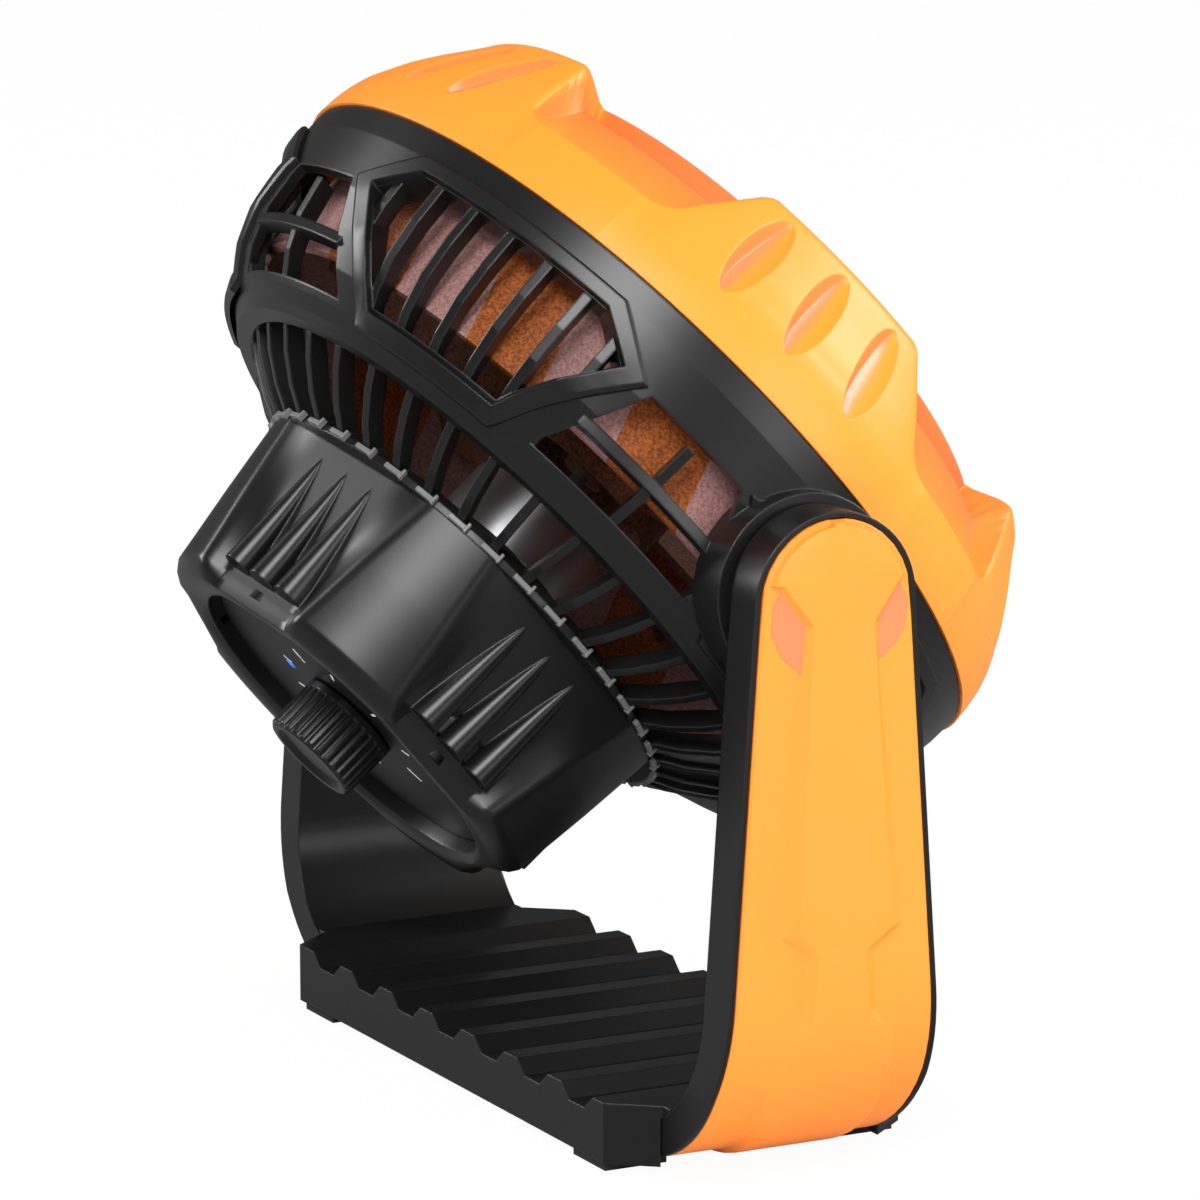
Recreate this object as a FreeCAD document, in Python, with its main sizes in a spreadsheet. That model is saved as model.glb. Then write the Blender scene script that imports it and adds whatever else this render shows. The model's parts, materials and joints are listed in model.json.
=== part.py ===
import FreeCAD, Part
import math
import os

import Sketcher
from FreeCAD import Placement, Rotation, Vector

# Portable camping fan with a tilting head on a U-shaped stand. Millimetres, +Z up.
# The origin lies on the floor, straight under the middle of the pivot axis, which runs along X.
# The head looks towards -Y. Its pieces are drawn in the head's own frame, with the fan axis along +Z
# to the air outlet and +Y up, and are then turned to the resting tilt.

doc = FreeCAD.newDocument("camping_fan")
sheet = doc.addObject("Spreadsheet::Sheet", "Sizes")

SIZES = [
    ("pivot_height", 119.5, "floor to pivot axis"),
    ("tilt", 40.5, "fan axis above level at rest, degrees"),
    ("axis_rise", 7.7, "fan axis above the pivot axis"),
    ("sectors", 5, "repeats round the head"),
    ("seam_front", 20.6, "seam between front ring and cage, ahead of the pivot"),
    ("seam_radius", 92.0, "radius at the seam"),
    ("lip_front", 52.4, "front of the light ring"),
    ("rim_front", 53.7, "front edge of the ring between lobes"),
    ("rim_radius", 64.5, "radius of that edge"),
    ("recess_start", 34.0, "rear edge of the recess between lobes"),
    ("recess_angle", 29.0, "width of a recess, degrees"),
    ("slot_outer", 74.8, "outer wall of the slot in a recess"),
    ("slot_floor", 41.0, "floor of the slot in a recess"),
    ("slot_angle", 26.0, "length of the slot, degrees"),
    ("pocket_angle", 29.0, "width of the hollow behind a lobe, degrees"),
    ("shroud_outer", 80.5, "outer radius of the shroud round the blades"),
    ("shroud_rear", -8.5, "rear end of the shroud"),
    ("grip_length", 27.0, "length of a finger scoop"),
    ("grip_width", 8.6, "width of a finger scoop"),
    ("grip_depth", 2.2, "depth of a finger scoop"),
    ("grip_pitch", 11.0, "angle between finger scoops, degrees"),
    ("grip_radius", 86.0, "lobe radius at the middle of a scoop"),
    ("grip_middle", 41.3, "middle of a scoop ahead of the pivot"),
    ("grip_slope", 29.0, "inward slope of the lobe under a scoop, degrees"),
    ("shell", 2.4, "wall of the moulded shells"),
    ("gap", 0.2, "clearance between fitted pieces"),
    ("lens_inner", 56.0, "inner radius of the light ring"),
    ("lens_outer", 62.0, "outer radius of the light ring"),
    ("lens_thick", 2.4, "thickness of the light ring lens"),
    ("channel_depth", 6.5, "depth of the light channel"),
    ("board_thick", 1.2, "thickness of the light board"),
    ("chip_count", 36, "light chips on the board"),
    ("chip_size", 2.8, "side of a light chip"),
    ("chip_thick", 0.7, "height of a light chip"),
    ("grille_rear", 46.5, "rear face of the front grille"),
    ("grille_thick", 2.6, "thickness of the front grille bars"),
    ("grille_bar", 1.6, "width of a front grille bar"),
    ("grille_spokes", 30, "spokes of the front grille"),
    ("grille_rings", 4, "rings of the front grille"),
    ("cap_radius", 18.0, "radius of the centre cap"),
    ("cap_thick", 3.0, "thickness of the centre cap"),
    ("cage_bottom", 20.0, "cage ridge behind the pivot"),
    ("ridge_radius", 76.0, "outer radius of the cage ridge"),
    ("dome_radius", 69.0, "outer end of the dome ribs"),
    ("dome_ribs", 38, "ribs of the dome"),
    ("rib_thick", 1.9, "thickness of a dome rib"),
    ("hub_radius", 52.5, "inner end of the dome ribs"),
    ("hub_back", 33.0, "cage hub ring behind the pivot"),
    ("slat_thick", 2.2, "thickness of a window slat"),
    ("slat_pitch", 6.6, "angle between window slats, degrees"),
    ("boss_radius", 20.0, "pivot boss radius"),
    ("boss_face", 94.5, "pivot boss face from the middle"),
    ("bolt_radius", 2.5, "pivot bolt radius"),
    ("running", 0.05, "radial running clearance"),
    ("pod_radius", 47.5, "fluted face of the pod"),
    ("pod_lobe", 54.0, "lobe radius of the pod"),
    ("pod_rear", 66.0, "fluted faces' rear end behind the pivot"),
    ("pod_lobe_rear", 70.0, "lobes' rear end behind the pivot"),
    ("pod_lobe_end", 48.4, "lobe radius of the pod at its rear"),
    ("lobe_narrow", 9.6, "half width of a pod lobe at the cage"),
    ("lobe_wide", 14.0, "half width of a pod lobe at the rear"),
    ("cavity_radius", 44.0, "battery bay radius"),
    ("panel_thick", 2.2, "thickness of the rear panel"),
    ("screw_circle", 40.0, "panel screws from the fan axis"),
    ("screw_radius", 1.5, "small screw shank radius"),
    ("head_radius", 2.8, "small screw head radius"),
    ("head_thick", 1.8, "small screw head thickness"),
    ("knob_radius", 11.0, "speed knob radius"),
    ("knob_length", 12.4, "speed knob length"),
    ("knob_gap", 0.5, "knob to panel"),
    ("knob_flutes", 30, "grooves round the knob"),
    ("shaft_radius", 3.0, "knob shaft radius"),
    ("motor_radius", 17.0, "motor case radius"),
    ("motor_length", 22.0, "motor case length"),
    ("motor_wall", 1.2, "motor case wall"),
    ("spindle", 1.6, "motor shaft radius"),
    ("blade_count", 7, "fan blades"),
    ("blade_radius", 75.5, "blade tip radius"),
    ("blade_hub", 21.0, "blade hub radius"),
    ("blade_rear", 2.0, "rear face of the blade hub"),
    ("blade_depth", 20.0, "length of the blade hub"),
    ("blade_thick", 1.8, "blade thickness"),
    ("cell_radius", 9.2, "battery cell radius"),
    ("cell_length", 65.0, "battery cell length"),
    ("cell_count", 3, "battery cells"),
    ("arm_inside", 96.0, "arm's inner face from the middle"),
    ("arm_thick", 10.0, "arm thickness"),
    ("arm_foot_half", 24.9, "half depth of the arm at the base"),
    ("arm_foot_level", 20.0, "height where the arm's taper starts"),
    ("arm_top_radius", 18.0, "radius of the arm's round top"),
    ("corner_outer", 38.0, "outer corner radius of the stand"),
    ("corner_inner", 27.0, "inner corner radius of the stand"),
    ("strip_thick", 7.6, "thickness of the stand under the tread"),
    ("foot_height", 1.9, "floor to the stand's underside"),
    ("skin_thick", 3.4, "thickness of the arm cover"),
    ("skin_proud", 0.6, "arm cover beyond the arm"),
    ("skin_margin", 1.4, "arm's black edge beside the cover"),
    ("skin_foot", 66.0, "lower end of the arm cover from the middle"),
    ("tread_half", 34.3, "half depth of the tread"),
    ("tread_end", 73.0, "half length of the tread's sides"),
    ("tread_shoulder", 80.4, "half length of the tread where it meets the band's edge"),
    ("tread_reach", 83.5, "half length of the tread over the band"),
    ("tooth_start", 71.5, "outer end of the first crest"),
    ("tooth_count", 7, "grooves across the tread"),
    ("crest_height", 14.6, "floor to the tread's crests"),
    ("tooth_depth", 3.0, "depth of the tread's grooves"),
    ("tooth_pitch", 20.0, "pitch of the tread's teeth"),
    ("pad_length", 14.0, "foot pad length"),
    ("pad_width", 14.0, "foot pad width"),
    ("seam_gap", 0.2, "shadow gap between front ring and cage"),
    ("ring_screw_circle", 85.2, "ring screws from the fan axis"),
    ("ring_screw_length", 9.0, "depth of a ring screw in its post"),
    ("ring_post_length", 12.4, "length of a ring screw's post"),
    ("boss_wall", 2.2, "wall round a ring screw"),
    ("ear_thick", 2.8, "thickness of the cage's screw ears"),
    ("boss_root", 84.0, "inner face of a pivot boss from the middle"),
    ("panel_radius", 45.4, "rear panel radius"),
    ("bush_radius", 4.2, "bush of the rotary control"),
    ("post_length", 7.0, "length of the panel screw posts"),
    ("port_across", 18.0, "charging port sideways from the fan axis"),
    ("port_down", 27.0, "charging port below the fan axis"),
    ("port_width", 9.6, "width of the charging port"),
    ("port_height", 3.8, "height of the charging port"),
    ("port_depth", 4.0, "depth of the charging port"),
    ("lamp_across", 12.0, "status lamp sideways from the fan axis"),
    ("lamp_up", 12.5, "status lamp above the fan axis"),
    ("lamp_radius", 1.3, "status lamp radius"),
    ("control_side", 16.0, "side of the rotary control's case"),
    ("control_depth", 6.4, "depth of the rotary control's case"),
    ("board_length", 52.0, "length of the circuit board"),
    ("board_height", 46.0, "height of the circuit board"),
    ("cradle_floor", 1.4, "floor of the battery cradle"),
    ("mount_radius", 46.6, "radius of the motor mount"),
    ("mount_thick", 2.6, "thickness of the motor mount"),
    ("bush_outer", 3.6, "outer radius of the motor bushes"),
    ("strip_proud", 0.8, "raised strip above the arm cover"),
    ("tread_screw_along", 50.0, "tread screws from the middle, along"),
    ("tread_screw_across", 14.0, "tread screws from the middle, across"),
    ("tread_bite", 3.5, "length of a tread screw in the tread"),
    ("bolt_head", 5.0, "pivot bolt head radius"),
    ("bolt_head_thick", 3.0, "pivot bolt head thickness"),
    ("pivot_gap", 0.3, "running gap beside the pivot boss"),
]


def fill_sheet():
    for row, (alias, amount, note) in enumerate(SIZES, start=1):
        sheet.set("A%d" % row, note)
        sheet.set("B%d" % row, str(amount))
        sheet.setAlias("B%d" % row, alias)
    doc.recompute()


class Size:
    """A number together with the sheet formula that gives it."""

    def __init__(self, amount, text):
        self.amount = float(amount)
        self.text = text

    def __add__(self, other):
        other = as_size(other)
        return Size(self.amount + other.amount, "(%s + %s)" % (self.text, other.text))

    def __sub__(self, other):
        other = as_size(other)
        return Size(self.amount - other.amount, "(%s - %s)" % (self.text, other.text))

    def __mul__(self, other):
        other = as_size(other)
        return Size(self.amount * other.amount, "(%s * %s)" % (self.text, other.text))

    def __truediv__(self, other):
        other = as_size(other)
        return Size(self.amount / other.amount, "(%s / %s)" % (self.text, other.text))

    def __neg__(self):
        return Size(-self.amount, "(0 - %s)" % self.text)


def as_size(amount):
    return amount if isinstance(amount, Size) else Size(amount, repr(float(amount)))


def dim(alias):
    return Size(sheet.get(alias), "Sizes." + alias)


def count(alias):
    return int(round(sheet.get(alias)))


def bind(thing, prop, amount):
    """Set one property from a size and keep it bound to the sheet."""
    amount = as_size(amount)
    if "Sizes." in amount.text:
        thing.setExpression(prop, amount.text)
    else:
        setattr(thing, prop, type(getattr(thing, prop))(amount.amount))


def head_placement():
    """The head's frame in the part's frame: fan axis along local Z, up along local Y."""
    turn = Rotation(Vector(1, 0, 0), 90.0 - dim("tilt").amount)
    rise = turn.multVec(Vector(0, dim("axis_rise").amount, 0))
    return Placement(Vector(0, 0, dim("pivot_height").amount) + rise, turn)


def place(thing, on_head):
    thing.Placement = head_placement() if on_head else Placement()


def new_body(label):
    body = doc.addObject("PartDesign::Body", label)
    body.Label = label
    return body


def origin_plane(body, role):
    return [f for f in body.Origin.OriginFeatures if f.Role == role][0]


def new_sketch(body, name, role="XZ_Plane", turn=0.0, offset=0.0):
    """A sketch on one of the body's own planes, turned about the body's Z or moved off the plane."""
    sketch = body.newObject("Sketcher::SketchObject", name)
    sketch.AttachmentSupport = [(origin_plane(body, role), "")]
    sketch.MapMode = "FlatFace"
    axis = Vector(0, 1, 0) if role == "XZ_Plane" else Vector(0, 0, 1)
    swing = Rotation(axis, -turn)
    out = swing.multVec(Vector(0, 0, 1))
    away = as_size(offset)
    sketch.AttachmentOffset = Placement(out * away.amount, swing)
    if "Sizes." in away.text:
        sketch.setExpression("AttachmentOffset.Base.x", (away * out.x).text)
        sketch.setExpression("AttachmentOffset.Base.z", (away * out.z).text)
    return sketch


def pin_point(sketch, geo, pos, x, y):
    """Hold one point of the sketch at the sizes x and y."""
    for kind, axis, amount in (("DistanceX", -2, as_size(x)), ("DistanceY", -1, as_size(y))):
        if amount.amount == 0.0:
            sketch.addConstraint(Sketcher.Constraint("PointOnObject", geo, pos, axis))
            continue
        at = sketch.addConstraint(Sketcher.Constraint(kind, -1, 1, geo, pos, amount.amount))
        if "Sizes." in amount.text:
            sketch.setExpression("Constraints[%d]" % at, amount.text)


def outline(sketch, corners):
    """A closed outline of straight edges through corners given as (x, y) sizes."""
    points = [Vector(as_size(x).amount, as_size(y).amount, 0) for x, y in corners]
    first = sketch.GeometryCount
    total = len(points)
    for i in range(total):
        sketch.addGeometry(Part.LineSegment(points[i], points[(i + 1) % total]))
    for i in range(total):
        after = first + (i + 1) % total
        sketch.addConstraint(Sketcher.Constraint("Coincident", first + i, 2, after, 1))
        pin_point(sketch, first + i, 1, corners[i][0], corners[i][1])


def rounded(sketch, corners):
    """An outline of upright and level edges whose corners (x, y, radius) may be rounded."""
    total = len(corners)
    amounts = [tuple(as_size(c).amount for c in corner) for corner in corners]
    joints = []
    for i, (x, y, radius) in enumerate(amounts):
        before, after = amounts[i - 1], amounts[(i + 1) % total]
        way_in = Vector(x - before[0], y - before[1], 0).normalize()
        way_out = Vector(after[0] - x, after[1] - y, 0).normalize()
        here = Vector(x, y, 0)
        joints.append((here - way_in * radius, here + way_out * radius, way_in, way_out))
    lines, arcs = [], []
    for i in range(total):
        start, end = joints[i][1], joints[(i + 1) % total][0]
        lines.append(sketch.addGeometry(Part.LineSegment(start, end)))
    for i, (x, y, radius) in enumerate(corners):
        before = lines[i - 1]
        if as_size(radius).amount == 0.0:
            sketch.addConstraint(Sketcher.Constraint("Coincident", before, 2, lines[i], 1))
            pin_point(sketch, lines[i], 1, x, y)
            continue
        start, end, way_in, way_out = joints[i]
        centre = start + way_out * amounts[i][2]
        middle = centre + (Vector(amounts[i][0], amounts[i][1], 0) - centre).normalize() * amounts[i][2]
        arcs.append(sketch.addGeometry(Part.Arc(start, middle, end)))
        turns_left = way_in.cross(way_out).z > 0
        first, last = (1, 2) if turns_left else (2, 1)
        sketch.addConstraint(Sketcher.Constraint("Tangent", before, 2, arcs[-1], first))
        sketch.addConstraint(Sketcher.Constraint("Tangent", arcs[-1], last, lines[i], 1))
        inward = way_out - way_in
        pin_point(sketch, arcs[-1], 3, as_size(x) + as_size(radius) * inward.x,
                  as_size(y) + as_size(radius) * inward.y)
        at = sketch.addConstraint(Sketcher.Constraint("Radius", arcs[-1], amounts[i][2]))
        sketch.setExpression("Constraints[%d]" % at, as_size(radius).text)


def circle(sketch, x, y, radius):
    radius = as_size(radius)
    centre = Vector(as_size(x).amount, as_size(y).amount, 0)
    geo = sketch.addGeometry(Part.Circle(centre, Vector(0, 0, 1), radius.amount))
    pin_point(sketch, geo, 3, x, y)
    at = sketch.addConstraint(Sketcher.Constraint("Radius", geo, radius.amount))
    if "Sizes." in radius.text:
        sketch.setExpression("Constraints[%d]" % at, radius.text)


def revolve(body, name, *outlines, angle=360.0, turn=0.0, cut=False):
    """Turn outlines of (radius, height) corners about the body's Z axis, or cut them away."""
    sketch = new_sketch(body, name + "_sketch", turn=turn)
    for corners in outlines:
        outline(sketch, corners)
    kind = "PartDesign::Groove" if cut else "PartDesign::Revolution"
    feature = body.newObject(kind, name)
    feature.Profile = sketch
    feature.ReferenceAxis = (sketch, ["V_Axis"])
    feature.Midplane = as_size(angle).amount < 360.0
    bind(feature, "Angle", angle)
    return finish(body, feature, sketch)


def extrude(body, name, sketch, length, cut=False, back=False, middle=False):
    """Pad the sketch along its normal, or pocket it the other way."""
    feature = body.newObject("PartDesign::Pocket" if cut else "PartDesign::Pad", name)
    feature.Profile = sketch
    bind(feature, "Length", length)
    feature.Reversed = back
    feature.Midplane = middle
    return finish(body, feature, sketch)


def finish(body, feature, sketch):
    """Make the feature the body's tip and make sure that a cut or a pad changed the volume."""
    before = body.Shape.Volume if not body.Shape.isNull() else 0.0
    sketch.Visibility = False
    body.Tip = feature
    doc.recompute()
    if abs(body.Shape.Volume - before) < 1e-3:
        raise RuntimeError("%s changed nothing on %s" % (feature.Name, body.Label))
    return feature


def repeat(body, name, features, copies, angle=360.0):
    """Copy the features round the body's Z axis."""
    pattern = body.newObject("PartDesign::PolarPattern", name)
    pattern.Originals = features
    pattern.Axis = (origin_axis(body, "Z_Axis"), [""])
    pattern.Angle = angle
    bind(pattern, "Occurrences", copies)
    return finish(body, pattern, features[0])


def origin_axis(body, role):
    return [f for f in body.Origin.OriginFeatures if f.Role == role][0]


def disc(label, radius, low, high, bore=None, on_head=True):
    """A round plate or ring along the local Z axis."""
    body = new_body(label)
    inner = bore if bore is not None else as_size(0.0)
    revolve(body, label + "_turn", [(inner, low), (radius, low), (radius, high), (inner, high)])
    place(body, on_head)
    return body


def solid_group(label, members, on_head=True):
    """Alike pieces as separate solids of one node."""
    group = doc.addObject("Part::Compound", label)
    group.Label = label
    group.Links = members
    place(group, on_head)
    return group


# Named shape values that follow the head's moulding, measured from the seam or the local axis.
BOWL = [(0.0, 0.0), (0.3, 5.7), (2.0, 17.6), (4.2, 25.6), (8.0, 32.6), (13.0, 38.2)]
# Lobes of the grip ring: (inward of the seam's radius, ahead of the seam).
DOME = [(-0.6, 0.0), (0.0, 6.4), (1.8, 12.4), (4.7, 18.4), (8.3, 24.4), (11.7, 29.4), (14.5, 33.4),
        (16.0, 34.9), (18.0, 35.4)]
LOBE_TURN = -54.0
FLUTE_TURN = -18.0
WINDOW_TURN = 36.0
# One tooth of the tread, as shares of its pitch: where the crest, the fall and the floor end.
CREST_END, FALL_END, FLOOR_END = 0.29, 0.46, 0.81


def front_ring():
    """Grip ring: domed lobes and recesses outside, the light channel in front, the shroud inside."""
    body = new_body("front_ring")
    seam, r0, shell = dim("seam_front"), dim("seam_radius"), dim("shell")
    rim, crest, lip = dim("rim_radius"), dim("rim_front"), dim("lip_front")
    floor, under = lip - dim("channel_depth"), dim("slot_floor") - shell
    inner, outer = dim("lens_inner") - dim("gap"), dim("lens_outer") + dim("gap")
    duct, rear, slot = dim("shroud_outer"), dim("shroud_rear"), dim("slot_outer")
    wall = [(r0 - drop, seam + rise) for drop, rise in DOME]
    revolve(body, "ring_wall", wall + [
        (rim, crest), (outer, crest - 0.6), (outer, floor), (inner, floor), (inner, lip),
        (inner - shell, lip), (inner - shell, floor - shell), (outer + shell, floor - shell),
        (outer + shell, under), (duct - shell, under), (duct - shell, rear), (duct, rear), (duct, under),
        (r0 - shell * 2.0, seam + 12.2), (r0 - shell, seam + 6.4), (r0 - shell * 0.75, seam)])
    start, past = dim("recess_start"), r0 + 4.0
    recess = revolve(body, "recess", [
        (past, start), (r0 - 1.5, start), (r0 - 4.0, start + 1.5), (r0 - 8.5, start + 4.4),
        (slot, start + 12.5),
        (rim, crest), (rim, crest + 4.0), (past, crest + 4.0)],
        angle=dim("recess_angle"), turn=WINDOW_TURN - 90.0, cut=True)
    groove = revolve(body, "slot", [
        (slot, start + 14.0), (slot - 0.5, dim("slot_floor")), (rim + 1.4, dim("slot_floor")),
        (rim + 0.8, crest + 1.0)], angle=dim("slot_angle"), turn=WINDOW_TURN - 90.0, cut=True)
    repeat(body, "recesses", [recess, groove], dim("sectors"))
    scoops = [finger_scoop(body, step) for step in (-1, 0, 1)]
    repeat(body, "grips", scoops, dim("sectors"))
    hollow = [(r0 - drop - shell, seam + rise - shell * 0.7) for drop, rise in DOME[3:7]]
    behind = [(duct, under - 0.4), (duct, seam + 22.6), hollow[0], (r0 - 6.0, under - 5.6)]
    ahead = [(rim + shell, under - 0.4), (rim + shell, crest - 3.6), (r0 - 18.6, crest - 0.6), hollow[3],
             (duct - shell, seam + 28.0), (duct - shell, under - 0.4)]
    pockets = revolve(body, "pockets", behind, ahead, angle=dim("pocket_angle"), turn=-90.0, cut=True)
    repeat(body, "hollows", [pockets], dim("sectors"))
    boss = new_sketch(body, "boss_sketch", "XY_Plane", offset=seam)
    circle(boss, 0, dim("ring_screw_circle"), dim("boss_wall") + dim("screw_radius"))
    post = extrude(body, "screw_post", boss, dim("ring_post_length"))
    repeat(body, "screw_posts", [post], dim("sectors"))
    hole = new_sketch(body, "hole_sketch", "XY_Plane", offset=seam)
    circle(hole, 0, dim("ring_screw_circle"), dim("screw_radius"))
    bore = extrude(body, "screw_bore", hole, dim("ring_screw_length"), cut=True, back=True)
    repeat(body, "screw_bores", [bore], dim("sectors"))
    place(body, True)
    return body


def finger_scoop(body, step):
    """One shallow oval scoop on the lobe at the top, step places round from its middle."""
    scoop = body.newObject("PartDesign::SubtractiveEllipsoid", "scoop")
    dome = dim("grip_depth") * 2.0
    bind(scoop, "Radius1", dim("grip_length") * 0.57)
    bind(scoop, "Radius2", dim("grip_width") * 0.57)
    bind(scoop, "Radius3", dome)
    slope = math.radians(dim("grip_slope").amount)
    lift = (dome - dim("grip_depth")).amount
    out = dim("grip_radius").amount + lift * math.cos(slope)
    level = dim("grip_middle").amount + lift * math.sin(slope)
    turn = Rotation(Vector(0, 0, 1), -step * dim("grip_pitch").amount)
    lean = Rotation(Vector(1, 0, 0), dim("grip_slope").amount)
    scoop.Placement = Placement(turn.multVec(Vector(0, out, 0)) + Vector(0, 0, level), turn.multiply(lean))
    body.Tip = scoop
    doc.recompute()
    return scoop


def led_lens():
    low = dim("lip_front") - dim("lens_thick")
    return disc("led_lens", dim("lens_outer"), low, dim("lip_front"), dim("lens_inner"))


def board_level():
    """Rear face of the light board, on the floor of the light channel."""
    return dim("lip_front") - dim("channel_depth")


def led_board():
    low = board_level()
    return disc("led_board", dim("lens_outer") - dim("gap"), low, low + dim("board_thick"),
                dim("lens_inner") + dim("gap"))


def led_chips():
    chips = []
    ring = (dim("lens_inner") + dim("lens_outer")) / 2.0
    side, total = dim("chip_size"), count("chip_count")
    for i in range(total):
        chip = doc.addObject("Part::Box", "chip_%02d" % i)
        bind(chip, "Length", side)
        bind(chip, "Width", side)
        bind(chip, "Height", dim("chip_thick"))
        turn = Rotation(Vector(0, 0, 1), 360.0 * i / total)
        corner = Vector(-side.amount / 2, ring.amount - side.amount / 2,
                        (board_level() + dim("board_thick")).amount)
        chip.Placement = Placement(turn.multVec(corner), turn)
        chips.append(chip)
    return solid_group("led_chips", chips)


def front_grille():
    """Spoked grille clipped into the duct, with a plain hub for the centre cap."""
    body = new_body("front_grille")
    low, thick, bar = dim("grille_rear"), dim("grille_thick"), dim("grille_bar")
    rim = dim("lens_inner") - dim("gap") - dim("shell") - dim("gap")
    hub = dim("cap_radius")
    plan = new_sketch(body, "spoke_sketch", "XY_Plane", offset=low)
    outline(plan, [(-bar / 2, hub - 3.0), (bar / 2, hub - 3.0), (bar / 2, rim - 1.0), (-bar / 2, rim - 1.0)])
    spoke = extrude(body, "spoke", plan, thick)
    repeat(body, "spokes", [spoke], dim("grille_spokes"))
    rounds = [[(0.0, low), (hub, low), (hub, low + thick), (0.0, low + thick)],
              [(rim - 2.0, low - 2.0), (rim, low - 2.0), (rim, low + thick + 2.0),
               (rim - 2.0, low + thick + 2.0)]]
    rings = count("grille_rings")
    for i in range(1, rings + 1):
        at = hub + (rim - hub) * (i / (rings + 1.0))
        rounds.append([(at - bar / 2, low + 0.3), (at + bar / 2, low + 0.3),
                       (at + bar / 2, low + thick - 0.3), (at - bar / 2, low + thick - 0.3)])
    revolve(body, "rounds", *rounds)
    place(body, True)
    return body


def grille_cap():
    low, top = dim("grille_rear") + dim("grille_thick"), dim("cap_thick")
    body = new_body("grille_cap")
    edge = dim("cap_radius")
    revolve(body, "cap_turn", [(0.0, low), (edge, low), (edge, low + top * 0.4), (edge - 2.0, low + top * 0.8),
                               (edge * 0.5, low + top), (0.0, low + top)])
    place(body, True)
    return body


def bowl(inward=0.0):
    """Points (radius, height) down the cage's side wall, set in by a thickness."""
    r0, seam = dim("seam_radius"), dim("seam_front") - dim("seam_gap")
    return [(r0 - drop - inward, seam - depth) for drop, depth in BOWL]


def cage_wall():
    """Bevel band and bowl-shaped side wall with its windows, pivot bosses and screw ears."""
    body = new_body("cage_wall")
    low = dim("cage_bottom")
    inner, outer = bowl(dim("shell")), bowl()
    revolve(body, "bowl_wall", outer + [(dim("ridge_radius"), -low), (dim("ridge_radius") - 2.0, -low + 2.0)]
            + inner[::-1])
    cage_windows(body)
    pivot_bosses(body)
    bolt_bores(body)
    ring_ears(body)
    return body


def cage_core():
    """Ridge with the window slats above it and the dome of ribs and the hub ring below."""
    body = new_body("cage_core")
    ridge, dome = dim("ridge_radius"), dim("dome_radius")
    low, hub, back = dim("cage_bottom"), dim("hub_radius"), dim("hub_back")
    revolve(body, "ridge", [(ridge, -low), (ridge - 1.5, -low - 1.6), (dome + 1.5, -low - 1.6), (dome, -low),
                            (dome, -low + 3.0), (ridge, -low + 3.0)])
    slats = [slat(body, "slat_%d" % i, -WINDOW_TURN + (i - 3) * dim("slat_pitch").amount, 1)
             for i in range(7)]
    slats.append(slat(body, "middle_slat", 0.0, 2))
    repeat(body, "slats", slats, dim("sectors"))
    reach = dim("seam_radius") - 5.0
    bar = revolve(body, "cross_bar", [(reach - 3.6, -8.6), (reach, -8.6), (reach, -6.2), (reach - 3.6, -6.2)],
                  angle=26.0, turn=-90.0)
    repeat(body, "cross_bars", [bar], dim("sectors"))
    rib = new_sketch(body, "rib_sketch")
    outline(rib, [(dome + 1.0, -low - 1.4), (dome - 3.0, -low - 5.0), (dome - 9.0, -low - 9.0),
                  (hub, -back + 0.4), (hub - 2.0, -back + 0.4), (hub - 2.0, -back + 3.4),
                  (dome - 11.5, -low - 6.0), (dome - 6.0, -low - 2.0), (dome + 0.5, -low + 2.5)])
    ribs = extrude(body, "rib", rib, dim("rib_thick"), middle=True)
    repeat(body, "dome", [ribs], dim("dome_ribs"))
    hub_inner = dim("mount_radius") + dim("gap")
    revolve(body, "hub_ring", [(hub_inner, -back), (hub + 1.0, -back), (hub + 1.0, -back + 1.6),
                               (hub - 1.0, -back + 3.6), (hub_inner, -back + 3.6)])
    bolt_bores(body)
    return body


def rear_cage():
    """Rear guard, moulded in one piece."""
    whole = doc.addObject("Part::Fuse", "rear_cage")
    whole.Label = "rear_cage"
    whole.Base, whole.Tool = cage_wall(), cage_core()
    place(whole, True)
    return whole


def cage_windows(body):
    """Framed six-sided windows and four-sided ones, turn and turn about."""
    framed = new_sketch(body, "framed_sketch", turn=-WINDOW_TURN)
    outline(framed, [(-26.0, 11.2), (-34.6, 4.6), (-17.4, -14.8), (17.4, -14.8), (34.6, 4.6), (26.0, 11.2)])
    first = extrude(body, "framed_window", framed, dim("seam_radius") + 10.0, cut=True)
    repeat(body, "framed_windows", [first], dim("sectors"))
    plain = new_sketch(body, "plain_sketch")
    outline(plain, [(-12.8, 4.6), (-22.4, -16.4), (22.4, -16.4), (12.8, 4.6)])
    second = extrude(body, "plain_window", plain, dim("seam_radius") + 10.0, cut=True)
    repeat(body, "plain_windows", [second], dim("sectors"))


def slat(body, name, angle, first):
    """One upright slat that follows the bowl's wall, at an angle from the top."""
    sketch = new_sketch(body, name + "_sketch", turn=angle - 90.0)
    outside, inside = bowl(0.5)[first:], bowl(4.6)[first:]
    outline(sketch, outside + inside[::-1])
    return extrude(body, name, sketch, dim("slat_thick"), middle=True)


def pivot_bosses(body):
    root = dim("boss_root")
    for side, away in ((-1.0, True), (1.0, False)):
        name = "near" if side < 0 else "far"
        face = new_sketch(body, name + "_boss_sketch", "YZ_Plane", offset=root * side)
        circle(face, -dim("axis_rise"), 0, dim("boss_radius"))
        extrude(body, name + "_boss", face, dim("boss_face") - root, back=away)


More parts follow.
